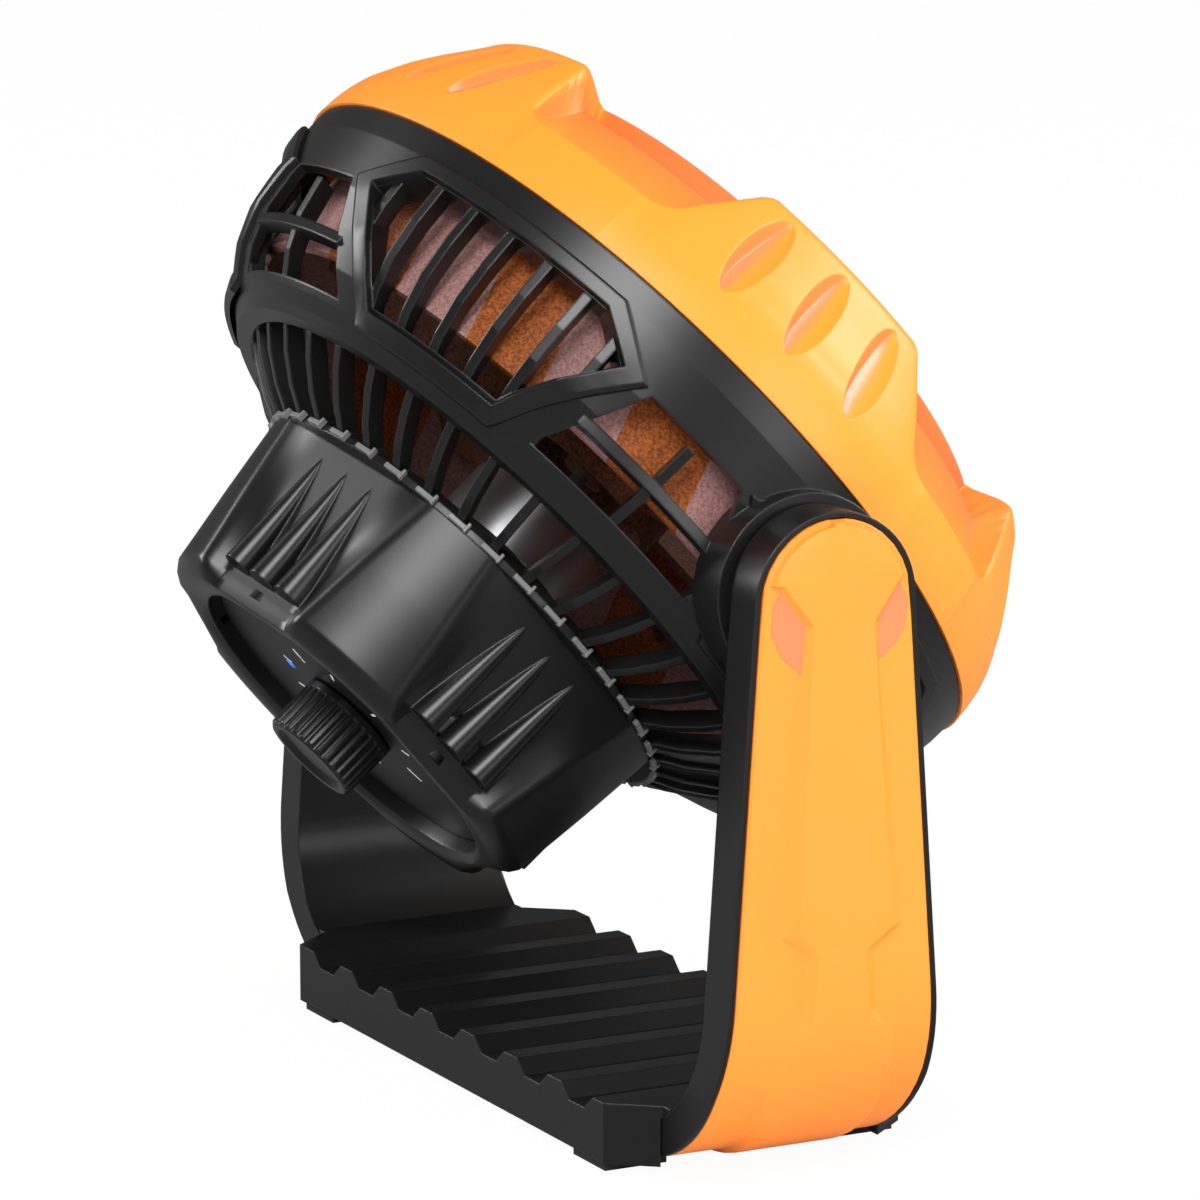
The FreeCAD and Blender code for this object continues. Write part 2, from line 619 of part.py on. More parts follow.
def bolt_bores(body):
    """Running holes for the pivot bolts, clear of whatever crosses the bosses."""
    deep = dim("boss_face") - dim("boss_root")
    for side, away in ((-1.0, True), (1.0, False)):
        name = "near" if side < 0 else "far"
        hole = new_sketch(body, name + "_bore_sketch", "YZ_Plane", offset=dim("boss_face") * side)
        circle(hole, -dim("axis_rise"), 0, dim("bolt_radius") + dim("running"))
        extrude(body, name + "_bore", hole, deep, cut=True, back=away)


def ring_ears(body):
    """Ears inside the seam that take the screws into the front ring."""
    seam = dim("seam_front") - dim("seam_gap")
    at, half = dim("ring_screw_circle"), dim("boss_wall") + dim("screw_radius")
    plan = new_sketch(body, "ear_sketch", "XY_Plane", offset=seam - dim("ear_thick"))
    outline(plan, [(-half, at - half), (half, at - half), (half, dim("seam_radius") - 1.6),
                   (-half, dim("seam_radius") - 1.6)])
    ear = extrude(body, "ear", plan, dim("ear_thick"))
    hole = new_sketch(body, "ear_hole_sketch", "XY_Plane", offset=seam)
    circle(hole, 0, at, dim("screw_radius"))
    bore = extrude(body, "ear_hole", hole, dim("ear_thick"), cut=True)
    repeat(body, "ears", [ear, bore], dim("sectors"))


def pod_housing():
    """Battery pod: a tube with five broad lobes and three raised flutes on each face between."""
    body = new_body("pod_housing")
    front, rear = -dim("hub_back"), -dim("pod_rear")
    wall, bay = dim("pod_radius"), dim("cavity_radius")
    seat = rear + dim("panel_thick")
    inlet, lining = dim("motor_radius") + 1.0, dim("shell")
    rim = dim("panel_radius") + dim("gap")
    revolve(body, "tube", [(inlet, front), (wall + 1.5, front), (wall - 0.4, rear), (rim, rear), (rim, seat),
                           (bay, seat), (bay, front - lining), (inlet, front - lining)])
    tail = -dim("pod_lobe_rear")
    narrow, wide = dim("lobe_narrow"), dim("lobe_wide")
    plan = new_sketch(body, "lobe_sketch", turn=LOBE_TURN, offset=-(bay + 0.6))
    outline(plan, [(-narrow, front), (-wide, tail + 4.0), (-wide + 2.5, tail), (wide - 2.5, tail),
                   (wide, tail + 4.0), (narrow, front)])
    lobe = extrude(body, "lobe", plan, dim("pod_lobe") - bay + 6.0, back=True)
    flute = new_sketch(body, "flute_sketch", turn=FLUTE_TURN, offset=-(bay + 0.6))
    for x in (-8.6, 0.0, 8.6):
        outline(flute, [(x, front - 4.0), (x - 2.1, rear), (x + 2.1, rear)])
    flutes = extrude(body, "flutes", flute, wall - bay + 1.2, back=True)
    repeat(body, "lobes", [lobe, flutes], dim("sectors"))
    crown, brow, past = dim("pod_lobe"), dim("pod_lobe_end"), dim("pod_lobe") + 9.0
    revolve(body, "crown", [(crown, front + 1.0), (crown, front), (brow, tail + 3.2), (brow - 2.8, tail),
                            (brow - 2.8, tail - 1.0), (past, tail - 1.0), (past, front + 1.0)], cut=True)
    revolve(body, "panel_seat", [(0.0, seat), (rim, seat), (rim, tail - 1.0), (0.0, tail - 1.0)], cut=True)
    post = new_sketch(body, "post_sketch", "XY_Plane", turn=FLUTE_TURN, offset=seat)
    circle(post, 0, dim("screw_circle"), bay - dim("screw_circle") + 0.4)
    posts = extrude(body, "post", post, dim("post_length"))
    hole = new_sketch(body, "post_hole_sketch", "XY_Plane", turn=FLUTE_TURN, offset=seat)
    circle(hole, 0, dim("screw_circle"), dim("screw_radius"))
    holes = extrude(body, "post_hole", hole, dim("post_length") - 1.0, cut=True, back=True)
    repeat(body, "posts", [posts, holes], dim("sectors"))
    place(body, True)
    return body


def rear_panel():
    """Round control panel, recessed between the lobes' ends."""
    body = new_body("rear_panel")
    rear = -dim("pod_rear")
    front = rear + dim("panel_thick")
    edge, bush = dim("panel_radius"), dim("bush_radius")
    revolve(body, "plate", [(bush, rear), (edge, rear), (edge, front), (bush, front)])
    holes = new_sketch(body, "hole_sketch", "XY_Plane", turn=FLUTE_TURN, offset=front)
    circle(holes, 0, dim("screw_circle"), dim("screw_radius"))
    hole = extrude(body, "hole", holes, dim("panel_thick"), cut=True)
    repeat(body, "holes", [hole], dim("sectors"))
    ports = new_sketch(body, "port_sketch", "XY_Plane", offset=front)
    x, y = dim("port_across"), -dim("port_down")
    half, tall = dim("port_width") / 2, dim("port_height") / 2
    outline(ports, [(x - half, y - tall), (x + half, y - tall), (x + half, y + tall), (x - half, y + tall)])
    circle(ports, dim("lamp_across"), dim("lamp_up"), dim("lamp_radius"))
    extrude(body, "ports", ports, dim("panel_thick"), cut=True)
    place(body, True)
    return body


def status_lens():
    body = new_body("status_lens")
    rear = -dim("pod_rear")
    spot = new_sketch(body, "spot_sketch", "XY_Plane", offset=rear)
    circle(spot, dim("lamp_across"), dim("lamp_up"), dim("lamp_radius"))
    extrude(body, "spot", spot, dim("panel_thick"))
    place(body, True)
    return body


def charging_port():
    """Metal socket shell behind the port's slot in the rear panel."""
    body = new_body("charging_port")
    rear = -dim("pod_rear") + 0.4
    x, y = dim("port_across"), -dim("port_down")
    half, tall = dim("port_width") / 2, dim("port_height") / 2
    plan = new_sketch(body, "shell_sketch", "XY_Plane", offset=rear)
    outline(plan, [(x - half, y - tall), (x + half, y - tall), (x + half, y + tall), (x - half, y + tall)])
    extrude(body, "shell", plan, dim("port_depth"))
    mouth = new_sketch(body, "mouth_sketch", "XY_Plane", offset=rear)
    thin = 0.4
    outline(mouth, [(x - half + thin, y - tall + thin), (x + half - thin, y - tall + thin),
                    (x + half - thin, y + tall - thin), (x - half + thin, y + tall - thin)])
    extrude(body, "mouth", mouth, dim("port_depth") - 0.8, cut=True, back=True)
    place(body, True)
    return body


def speed_knob():
    """Knurled knob with a dished rear face, pushed on its shaft."""
    body = new_body("speed_knob")
    front = -dim("pod_rear") - dim("knob_gap")
    tail = front - dim("knob_length")
    wide, bore = dim("knob_radius"), dim("shaft_radius")
    shaft_end = front - dim("knob_length") + 2.4
    revolve(body, "knob_turn", [(bore, front), (wide, front), (wide, tail + 0.8), (wide - 0.8, tail),
                                (wide - 2.2, tail), (wide - 3.0, tail + 0.9), (0.0, tail + 0.9),
                                (0.0, shaft_end), (bore, shaft_end)])
    knurl = new_sketch(body, "knurl_sketch", "XY_Plane", offset=tail)
    circle(knurl, 0, wide + 0.2, 0.7)
    groove = extrude(body, "knurl", knurl, dim("knob_length") - 1.6, cut=True, back=True)
    repeat(body, "knurls", [groove], dim("knob_flutes"))
    place(body, True)
    return body


def knob_shaft():
    front = -dim("pod_rear") - dim("knob_gap")
    return disc("knob_shaft", dim("shaft_radius"), front - dim("knob_length") + 2.4,
                -dim("pod_rear") + dim("panel_thick") + 5.0)


def speed_control():
    """Rotary control behind the panel: square case and the bush that the knob's shaft turns in."""
    body = new_body("speed_control")
    front = -dim("pod_rear") + dim("panel_thick")
    half = dim("control_side") / 2
    plan = new_sketch(body, "case_sketch", "XY_Plane", offset=front)
    outline(plan, [(-half, -half), (half, -half), (half, half), (-half, half)])
    extrude(body, "case", plan, dim("control_depth"))
    bush = new_sketch(body, "bush_sketch", "XY_Plane", offset=front - dim("panel_thick"))
    circle(bush, 0, 0, dim("bush_radius"))
    extrude(body, "bush", bush, dim("panel_thick"))
    bore = new_sketch(body, "bore_sketch", "XY_Plane", offset=front - dim("panel_thick"))
    circle(bore, 0, 0, dim("shaft_radius") + dim("running"))
    extrude(body, "bore", bore, dim("panel_thick") + 5.4, cut=True, back=True)
    place(body, True)
    return body


def control_board():
    """Circuit board round the rotary control."""
    body = new_body("control_board")
    low = board_face()
    long, tall = dim("board_length") / 2, dim("board_height") / 2
    half = dim("control_side") / 2 + dim("gap")
    plan = new_sketch(body, "board_sketch", "XY_Plane", offset=low)
    outline(plan, [(-long, -tall), (long, -tall), (long, tall), (-long, tall)])
    extrude(body, "board", plan, dim("board_thick"))
    gap = new_sketch(body, "gap_sketch", "XY_Plane", offset=low)
    outline(gap, [(-half, -half), (half, -half), (half, half), (-half, half)])
    extrude(body, "gap", gap, dim("board_thick"), cut=True, back=True)
    place(body, True)
    return body


def board_face():
    return -dim("pod_rear") + dim("panel_thick") + dim("port_depth")


def board_parts():
    """Chips, capacitors and plugs on the front of the circuit board."""
    parts = []
    level = (board_face() + dim("board_thick")).amount
    spots = [(-20.0, 12.0, 7.0, 7.0, 1.4), (-20.0, -12.0, 9.0, 6.0, 3.0), (20.0, 12.0, 8.0, 5.0, 3.0),
             (0.0, 14.0, 10.0, 5.0, 2.0), (-6.0, -15.0, 5.0, 5.0, 1.2), (8.0, -15.0, 6.0, 5.0, 2.6)]
    for i, (x, y, length, width, height) in enumerate(spots):
        chip = doc.addObject("Part::Box", "board_part_%d" % i)
        chip.Length, chip.Width, chip.Height = length, width, height
        chip.Placement = Placement(Vector(x - length / 2, y - width / 2, level), Rotation())
        parts.append(chip)
    return solid_group("board_parts", parts)


def cell_level():
    """Middle of the row of cells, resting on the cradle's floor."""
    return -dim("hub_back") - dim("shell") - dim("cradle_floor") - dim("cell_radius")


def battery_cells():
    cells = []
    pitch = dim("cell_radius") * 2.0 + dim("gap")
    for i in range(count("cell_count")):
        cell = doc.addObject("Part::Cylinder", "cell_%d" % i)
        bind(cell, "Radius", dim("cell_radius"))
        bind(cell, "Height", dim("cell_length"))
        along = (i - (count("cell_count") - 1) / 2.0) * pitch.amount
        start = Vector(-dim("cell_length").amount / 2, along, cell_level().amount)
        cell.Placement = Placement(start, Rotation(Vector(0, 1, 0), 90))
        cells.append(cell)
    return solid_group("battery_cells", cells)


def battery_cradle():
    """Moulded cradle with a trough for each cell."""
    body = new_body("battery_cradle")
    top = -dim("hub_back") - dim("shell")
    pitch = dim("cell_radius") * 2.0 + dim("gap")
    wide = dim("cell_length") / 2 - 2.0
    half = pitch * (count("cell_count") / 2.0) - 1.0
    deep = dim("cradle_floor") + dim("cell_radius") * 0.6
    plan = new_sketch(body, "cradle_sketch", "XY_Plane", offset=top)
    outline(plan, [(-wide, -half), (wide, -half), (wide, half), (-wide, half)])
    extrude(body, "block", plan, deep, back=True)
    trough = new_sketch(body, "trough_sketch", "YZ_Plane")
    for i in range(count("cell_count")):
        along = pitch * (i - (count("cell_count") - 1) / 2.0)
        circle(trough, along, cell_level(), dim("cell_radius") + 0.05)
    extrude(body, "troughs", trough, dim("cell_length") + 10.0, cut=True, middle=True)
    place(body, True)
    return body


def motor_mount():
    """Bulkhead disc on the pod's front with a collar that holds the motor."""
    back = -dim("hub_back")
    collar = dim("motor_radius") + dim("gap")
    body = new_body("motor_mount")
    plate = dim("mount_thick")
    edge = dim("mount_radius")
    revolve(body, "mount_turn", [(5.0, back), (edge, back), (edge, back + plate),
                                 (collar + 3.0, back + plate), (collar + 2.0, back + plate + 9.0),
                                 (collar, back + plate + 9.0), (collar, back + plate), (5.0, back + plate)])
    place(body, True)
    return body


def motor_rear():
    return -dim("hub_back") + dim("mount_thick")


def motor_case():
    """Deep-drawn motor can, open at the rear, with a nose for the front bush."""
    body = new_body("motor_case")
    low, wall = motor_rear(), dim("motor_wall")
    high, wide = low + dim("motor_length"), dim("motor_radius")
    bush = dim("bush_outer")
    revolve(body, "case_turn", [(wide - wall, low), (wide, low), (wide, high), (bush + 1.4, high),
                                (bush + 1.4, high + 2.0), (bush, high + 2.0), (bush, high - wall),
                                (wide - wall, high - wall)])
    place(body, True)
    return body


def motor_end_plate():
    low = motor_rear()
    return disc("motor_end_plate", dim("motor_radius") - dim("motor_wall"), low, low + 2.0, dim("bush_outer"))


def motor_bushes():
    """Front and rear bushes that the motor shaft runs in."""
    low = motor_rear()
    high = low + dim("motor_length")
    bushes = []
    for name, start, length in (("rear", low, as_size(3.0)), ("front", high - dim("motor_wall"),
                                                                dim("motor_wall") + 2.0)):
        bush = new_body(name + "_bush")
        bore = dim("spindle") + dim("running")
        revolve(bush, name + "_bush_turn", [(bore, start), (dim("bush_outer"), start),
                                            (dim("bush_outer"), start + length), (bore, start + length)])
        bushes.append(bush)
    return solid_group("motor_bushes", bushes)


def motor_magnets():
    low, wide = motor_rear() + 2.0, dim("motor_radius") - dim("motor_wall")
    return disc("motor_magnets", wide, low + 1.0, low + 15.0, wide - 2.6)


def rotor_core():
    """Wound rotor on the motor shaft, with its commutator."""
    body = new_body("rotor_core")
    low = motor_rear() + 4.5
    wide = dim("motor_radius") - dim("motor_wall") - 3.2
    bore = dim("spindle")
    revolve(body, "core_turn", [(bore, low), (3.4, low), (3.4, low + 2.4), (wide - 2.0, low + 2.4),
                                (wide, low + 3.4), (wide, low + 11.4), (wide - 2.0, low + 12.6),
                                (bore, low + 12.6)])
    slot = new_sketch(body, "slot_sketch", "XY_Plane", offset=low + 2.0)
    outline(slot, [(-0.6, wide - 5.0), (0.6, wide - 5.0), (0.6, wide + 1.0), (-0.6, wide + 1.0)])
    first = extrude(body, "slot", slot, 12.0, cut=True, back=True)
    repeat(body, "slots", [first], 5)
    place(body, True)
    return body


def motor_shaft():
    tip = dim("blade_rear") + dim("blade_depth") - 1.0
    return disc("motor_shaft", dim("spindle"), motor_rear() + 0.2, tip)


def blade_corners(middle, rise, chord, angle, thick):
    """Four corners of a blade's section: chord at an angle in degrees from the plane of the fan."""
    along = Vector(math.cos(math.radians(angle)), math.sin(math.radians(angle)), 0)
    across = Vector(-along.y, along.x, 0)
    ends = [(-1, -1), (1, -1), (1, 1), (-1, 1)]
    return [(middle + chord * (along.x * i / 2) + thick * (across.x * j / 2),
             rise + chord * (along.y * i / 2) + thick * (across.y * j / 2)) for i, j in ends]


def fan_blade():
    """Moulded impeller: cup hub with a bored boss and twisted blades."""
    body = new_body("fan_blade")
    low, deep = dim("blade_rear"), dim("blade_depth")
    hub, wall, bore = dim("blade_hub"), dim("blade_thick"), dim("spindle")
    top = low + deep
    revolve(body, "hub_cup", [(bore, low + 3.0), (5.0, low + 3.0), (5.0, top - wall), (hub - wall, top - wall),
                              (hub - wall, low), (hub, low), (hub, top - 2.0), (hub - 2.0, top), (0.0, top),
                              (0.0, top - 1.0), (bore, top - 1.0)])
    middle = low + deep / 2
    stations = [(hub - 1.0, 0.0, 20.0, 46.0), (hub + 24.0, 3.0, 27.0, 34.0),
                (dim("blade_radius") - 2.4, 7.0, 31.0, 25.0)]
    sections = []
    for i, (out, sweep, chord, angle) in enumerate(stations):
        section = new_sketch(body, "section_%d" % i, "YZ_Plane", offset=out)
        outline(section, blade_corners(as_size(sweep), middle, as_size(chord), angle, wall))
        sections.append(section)
    blade = body.newObject("PartDesign::AdditiveLoft", "blade")
    blade.Profile = sections[0]
    blade.Sections = sections[1:]
    finish(body, blade, sections[0])
    repeat(body, "blades", [blade], dim("blade_count"))
    place(body, True)
    return body


def screw(name, spot, axis, length):
    """One screw: a shank along the axis from the spot and a head behind it."""
    lean = Rotation(Vector(0, 0, 1), axis)
    shank = doc.addObject("Part::Cylinder", name + "_shank")
    bind(shank, "Radius", dim("screw_radius"))
    bind(shank, "Height", length)
    shank.Placement = Placement(spot, lean)
    head = doc.addObject("Part::Cylinder", name + "_head")
    bind(head, "Radius", dim("head_radius"))
    bind(head, "Height", dim("head_thick"))
    head.Placement = Placement(spot - lean.multVec(Vector(0, 0, dim("head_thick").amount)), lean)
    whole = doc.addObject("Part::MultiFuse", name)
    whole.Shapes = [shank, head]
    return whole


def round_the_head(radius, angle, level):
    turn = Rotation(Vector(0, 0, 1), -angle)
    return turn.multVec(Vector(0, radius.amount, 0)) + Vector(0, 0, level.amount)


def panel_screws():
    step = 360.0 / count("sectors")
    screws = [screw("panel_screw_%d" % i,
                    round_the_head(dim("screw_circle"), FLUTE_TURN + i * step, -dim("pod_rear")),
                    Vector(0, 0, 1), dim("panel_thick") + dim("post_length") - 2.0)
              for i in range(count("sectors"))]
    return solid_group("panel_screws", screws)


def ring_screws():
    step = 360.0 / count("sectors")
    level = dim("seam_front") - dim("seam_gap") - dim("ear_thick")
    screws = [screw("ring_screw_%d" % i, round_the_head(dim("ring_screw_circle"), i * step, level),
                    Vector(0, 0, 1), dim("ear_thick") + dim("ring_screw_length") - 1.0)
              for i in range(count("sectors"))]
    return solid_group("ring_screws", screws)


def arm_limits(foot_half, top_radius):
    """Half depths of an arm-shaped outline, where the taper starts and at the pivot."""
    return foot_half, dim("arm_foot_level"), top_radius, dim("pivot_height")


def taper(body, name, foot_half, top_radius, reach):
    """Cut the front and back of a stand piece to the arm's tapering side view."""
    foot, level, top, pivot = arm_limits(foot_half, top_radius)
    far = foot + 12.0
    for side in (-1.0, 1.0):
        word = "front" if side < 0 else "back"
        wedge = new_sketch(body, name + "_" + word + "_sketch", "YZ_Plane")
        outline(wedge, [(foot * side, level), (far * side, level), (far * side, pivot + 1.0),
                        (top * side, pivot + 1.0), (top * side, pivot)])
        extrude(body, name + "_" + word, wedge, reach, cut=True, middle=True)


def arm_skin(label, side, grow):
    """Cover shell down one arm's outer face and round the bottom corner, grown by a clearance."""
    body = new_body(label)
    face = dim("arm_inside") + dim("arm_thick") + dim("skin_proud")
    depth, margin = dim("skin_thick"), dim("skin_margin")
    under, pivot = dim("foot_height"), dim("pivot_height")
    foot = dim("arm_foot_half") - margin + grow
    top = dim("arm_top_radius") - margin + grow
    outer = dim("corner_outer") + dim("skin_proud")
    inside = face - depth - grow
    end = dim("skin_foot") - grow
    sketch = new_sketch(body, label + "_side")
    rounded(sketch, [(face * side, pivot, 0), (face * side, under, outer), (end * side, under, 0),
                     (end * side, under + depth + grow, 0),
                     (inside * side, under + depth + grow, outer - depth - grow), (inside * side, pivot, 0)])
    extrude(body, label + "_skin", sketch, foot * 2.0, middle=True)
    taper(body, label + "_taper", foot, top, face * 2.0 + 10.0)
    crown = new_sketch(body, label + "_crown_sketch", "YZ_Plane", offset=inside * side)
    circle(crown, 0, pivot, top)
    extrude(body, label + "_crown", crown, depth + grow, back=side < 0)
    return body


def arm_cover(label, side):
    """Coloured cover with a raised strip down its middle."""
    body = arm_skin(label, side, as_size(0.0))
    face = dim("arm_inside") + dim("arm_thick") + dim("skin_proud")
    strip = new_sketch(body, label + "_strip_sketch", "YZ_Plane", offset=(face - 1.0) * side)
    low, high = dim("corner_outer") + 4.0, dim("pivot_height") - dim("arm_top_radius")
    outline(strip, [(-12.0, low), (-9.0, low + 12.0), (-12.5, low + 18.0), (-10.5, high), (10.5, high),
                    (12.5, low + 18.0), (9.0, low + 12.0), (12.0, low)])
    extrude(body, label + "_strip", strip, dim("strip_proud") + 1.0, back=side < 0)
    place(body, False)
    return body


def stand_band():
    """U-shaped stand: two tapering arms with round tops, let in for the covers and the bolts."""
    body = new_body("band")
    inside, thick = dim("arm_inside"), dim("arm_thick")
    outside, under, pivot = inside + thick, dim("foot_height"), dim("pivot_height")
    floor = under + dim("strip_thick")
    big, small = dim("corner_outer"), dim("corner_inner")
    sketch = new_sketch(body, "band_sketch")
    rounded(sketch, [(outside, pivot, 0), (outside, under, big), (-outside, under, big), (-outside, pivot, 0),
                     (-inside, pivot, 0), (-inside, floor, small), (inside, floor, small), (inside, pivot, 0)])
    extrude(body, "band_pad", sketch, dim("arm_foot_half") * 2.0, middle=True)
    taper(body, "band_taper", dim("arm_foot_half"), dim("arm_top_radius"), outside * 2.0 + 10.0)
    for side in (-1.0, 1.0):
        word = "near" if side < 0 else "far"
        for name, start, radius, deep, cut in (
                ("crown", inside, dim("arm_top_radius"), thick, False),
                ("bolt_hole", inside - 1.0, dim("bolt_radius"), thick + 2.0, True)):
            round_face = new_sketch(body, word + "_" + name + "_sketch", "YZ_Plane", offset=start * side)
            circle(round_face, 0, pivot, radius)
            extrude(body, word + "_" + name, round_face, deep, cut=cut, back=(side < 0) != cut)
        seat = new_sketch(body, word + "_seat_sketch", "YZ_Plane", offset=bolt_seat() * side)
        circle(seat, 0, pivot, dim("bolt_head") + dim("gap"))
        extrude(body, word + "_seat", seat, thick, cut=True, back=side > 0)
    for name, radius, deep in (("foot_hole", dim("screw_radius"), dim("strip_thick")),
                               ("foot_recess", dim("head_radius") + dim("gap"), dim("head_thick"))):
        holes = new_sketch(body, name + "_sketch", "XY_Plane", offset=under)
        tread_screw_circles(holes, radius)
        extrude(body, name + "s", holes, deep, cut=True, back=True)
    return body


def tread_screw_circles(sketch, radius):
    """The tread screws' four places, as circles in a level sketch."""
    for x in (-1.0, 1.0):
        for y in (-1.0, 1.0):
            circle(sketch, dim("tread_screw_along") * x, dim("tread_screw_across") * y, radius)


def bolt_seat():
    """Where the pivot bolt's head bears in the arm."""
    return dim("arm_inside") + dim("arm_thick") - dim("skin_thick") - dim("bolt_head_thick")


def stand():
    """The band with its lets for both covers cut out."""
    whole = stand_band()
    for side, word in ((-1.0, "near"), (1.0, "far")):
        tool = arm_skin(word + "_let", side, dim("gap"))
        cut = doc.addObject("Part::Cut", "band_cut_" + word)
        cut.Base, cut.Tool = whole, tool
        whole = cut
    whole.Label = "stand_band"
    place(whole, False)
    return whole


def base_tread():
    """Ridged tread block over the stand's base, with cut corners and ends that follow the arms' bend."""
    body = new_body("base_tread")
    under, crest, depth = dim("foot_height"), dim("crest_height"), dim("tooth_depth")
    pitch, end, half = dim("tooth_pitch"), dim("tread_end"), dim("tread_half")
    start, reach, inside = dim("tooth_start"), dim("tread_reach"), dim("arm_foot_half") + dim("gap")
    corners = [(reach, under), (reach, crest)]
    for i in range(count("tooth_count")):
        first = start - pitch * i
        corners += [(first - pitch * CREST_END, crest), (first - pitch * FALL_END, crest - depth),
                    (first - pitch * FLOOR_END, crest - depth), (first - pitch, crest)]
    corners += [(-reach, crest), (-reach, under)]
    side = new_sketch(body, "tread_sketch")
    outline(side, corners)
    extrude(body, "tread_pad", side, half * 2.0, middle=True)
    shoulder = dim("tread_shoulder")
    plan = new_sketch(body, "corner_sketch", "XY_Plane", offset=under)
    edge = inside - dim("gap") * 2.0
    for x in (-1.0, 1.0):
        for y in (-1.0, 1.0):
            outline(plan, [(end * x, (half + 1.0) * y), (end * x, half * y), (shoulder * x, inside * y),
                           (shoulder * x, edge * y), ((reach + 1.0) * x, edge * y),
                           ((reach + 1.0) * x, (half + 1.0) * y)])
    extrude(body, "corners", plan, crest, cut=True, back=True)
    floor, bend = under + dim("strip_thick"), dim("corner_inner")
    wall = dim("arm_inside")
    over = crest + 4.0
    channel = new_sketch(body, "channel_sketch")
    rounded(channel, [(wall * 2.0, over, 0), (wall, over, 0), (wall, floor, bend), (-wall, floor, bend),
                      (-wall, over, 0), (wall * -2.0, over, 0), (wall * -2.0, under - 1.0, 0),
                      (wall * 2.0, under - 1.0, 0)])
    extrude(body, "channel", channel, inside * 2.0, cut=True, middle=True)
    bites = new_sketch(body, "bite_sketch", "XY_Plane", offset=floor)
    tread_screw_circles(bites, dim("screw_radius"))
    extrude(body, "bites", bites, dim("tread_bite"), cut=True, back=True)
    place(body, False)
    return body


def tread_screws():
    screws = []
    for x in (-1, 1):
        for y in (-1, 1):
            spot = Vector(x * dim("tread_screw_along").amount, y * dim("tread_screw_across").amount,
                          (dim("foot_height") + dim("head_thick")).amount)
            screws.append(screw("tread_screw_%d%d" % (x + 1, y + 1), spot, Vector(0, 0, 1),
                                dim("strip_thick") - dim("head_thick") + dim("tread_bite")))
    return solid_group("tread_screws", screws, on_head=False)


def foot_pads():
    """Four rubber pads under the corners of the tread."""
    pads = []
    along, across = dim("tread_end") - 1.0, dim("tread_half") - 1.0
    for x in (-1, 1):
        for y in (-1, 1):
            pad = doc.addObject("Part::Box", "pad_%d%d" % (x + 1, y + 1))
            bind(pad, "Length", dim("pad_length"))
            bind(pad, "Width", dim("pad_width"))
            bind(pad, "Height", dim("foot_height"))
            corner = Vector(math.copysign(along.amount, x), math.copysign(across.amount, y), 0)
            back = Vector(dim("pad_length").amount if x > 0 else 0, dim("pad_width").amount if y > 0 else 0, 0)
            pad.Placement = Placement(corner - back, Rotation())
            pads.append(pad)
    return solid_group("foot_pads", pads, on_head=False)


def pivot_bolt(label, side):
    """Shouldered bolt through the arm into the cage's boss."""
    body = new_body(label)
    seat, pivot = bolt_seat(), dim("pivot_height")
    tip = dim("boss_root") + 1.0
    for name, start, radius, deep in (("shank", tip, dim("bolt_radius"), seat - tip),
                                      ("head", seat, dim("bolt_head"), dim("bolt_head_thick") - dim("gap"))):
        face = new_sketch(body, label + "_" + name + "_sketch", "YZ_Plane", offset=start * side)
        circle(face, 0, pivot, radius)
        extrude(body, label + "_" + name, face, deep, back=side < 0)
    place(body, False)
    return body


def ratchet_ring(label, side):
    """Toothed friction ring between the arm and the boss."""
    body = new_body(label)
    start, thick = dim("boss_face") + dim("pivot_gap"), dim("arm_inside") - dim("boss_face") - dim("pivot_gap")
    pivot, wide = dim("pivot_height"), dim("arm_top_radius") - 0.6
    plate = new_sketch(body, label + "_plate_sketch", "YZ_Plane", offset=start * side)
    circle(plate, 0, pivot, wide)
    circle(plate, 0, pivot, dim("bolt_radius"))
    extrude(body, label + "_plate", plate, thick, back=side < 0)
    teeth = new_sketch(body, label + "_teeth_sketch", "YZ_Plane", offset=start * side)
    for i in range(24):
        angle = math.radians(15.0 * i)
        circle(teeth, wide * math.cos(angle), pivot + wide * math.sin(angle), 0.9)
    extrude(body, label + "_teeth", teeth, thick, cut=True, back=side > 0)
    place(body, False)
    return body


def build_parts():
    """Every sub-part of the fan, head first."""
    parts = [front_ring(), led_lens(), led_board(), led_chips(), front_grille(), grille_cap(), rear_cage(),
             ring_screws(), pod_housing(), rear_panel(), panel_screws(), status_lens(), charging_port(),
             speed_knob(), knob_shaft(), speed_control(), control_board(), board_parts(), battery_cells(),
             battery_cradle(), motor_mount(), motor_case(), motor_end_plate(), motor_bushes(),
             motor_magnets(), rotor_core(), motor_shaft(), fan_blade()]
    parts += [stand(), base_tread(), tread_screws(), foot_pads()]
    for word, side in (("near", -1.0), ("far", 1.0)):
        parts += [arm_cover("arm_cover_" + word, side), pivot_bolt("pivot_bolt_" + word, side),
                  ratchet_ring("ratchet_ring_" + word, side)]
    return parts


def check_and_write(parts):
    doc.recompute()
    for thing in doc.Objects:
        if "Invalid" in thing.State or "Error" in thing.State:
            raise RuntimeError("%s failed: %s" % (thing.Label, thing.State))
    for thing in parts:
        if thing.Shape.isNull() or not thing.Shape.isValid():
            raise RuntimeError("%s has no valid shape" % thing.Label)
    os.makedirs("parts", exist_ok=True)
    for thing in parts:
        thing.Shape.exportStep("parts/%s.step" % thing.Label)
        print("%-18s solids %2d  volume %10.1f" % (thing.Label, len(thing.Shape.Solids), thing.Shape.Volume))


fill_sheet()
check_and_write(build_parts())
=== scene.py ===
"""Portable camping fan: its looks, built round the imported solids."""

import json
import math

import bmesh
import bpy
from bpy.props import FloatProperty, FloatVectorProperty, PointerProperty
from mathutils import Matrix, Vector


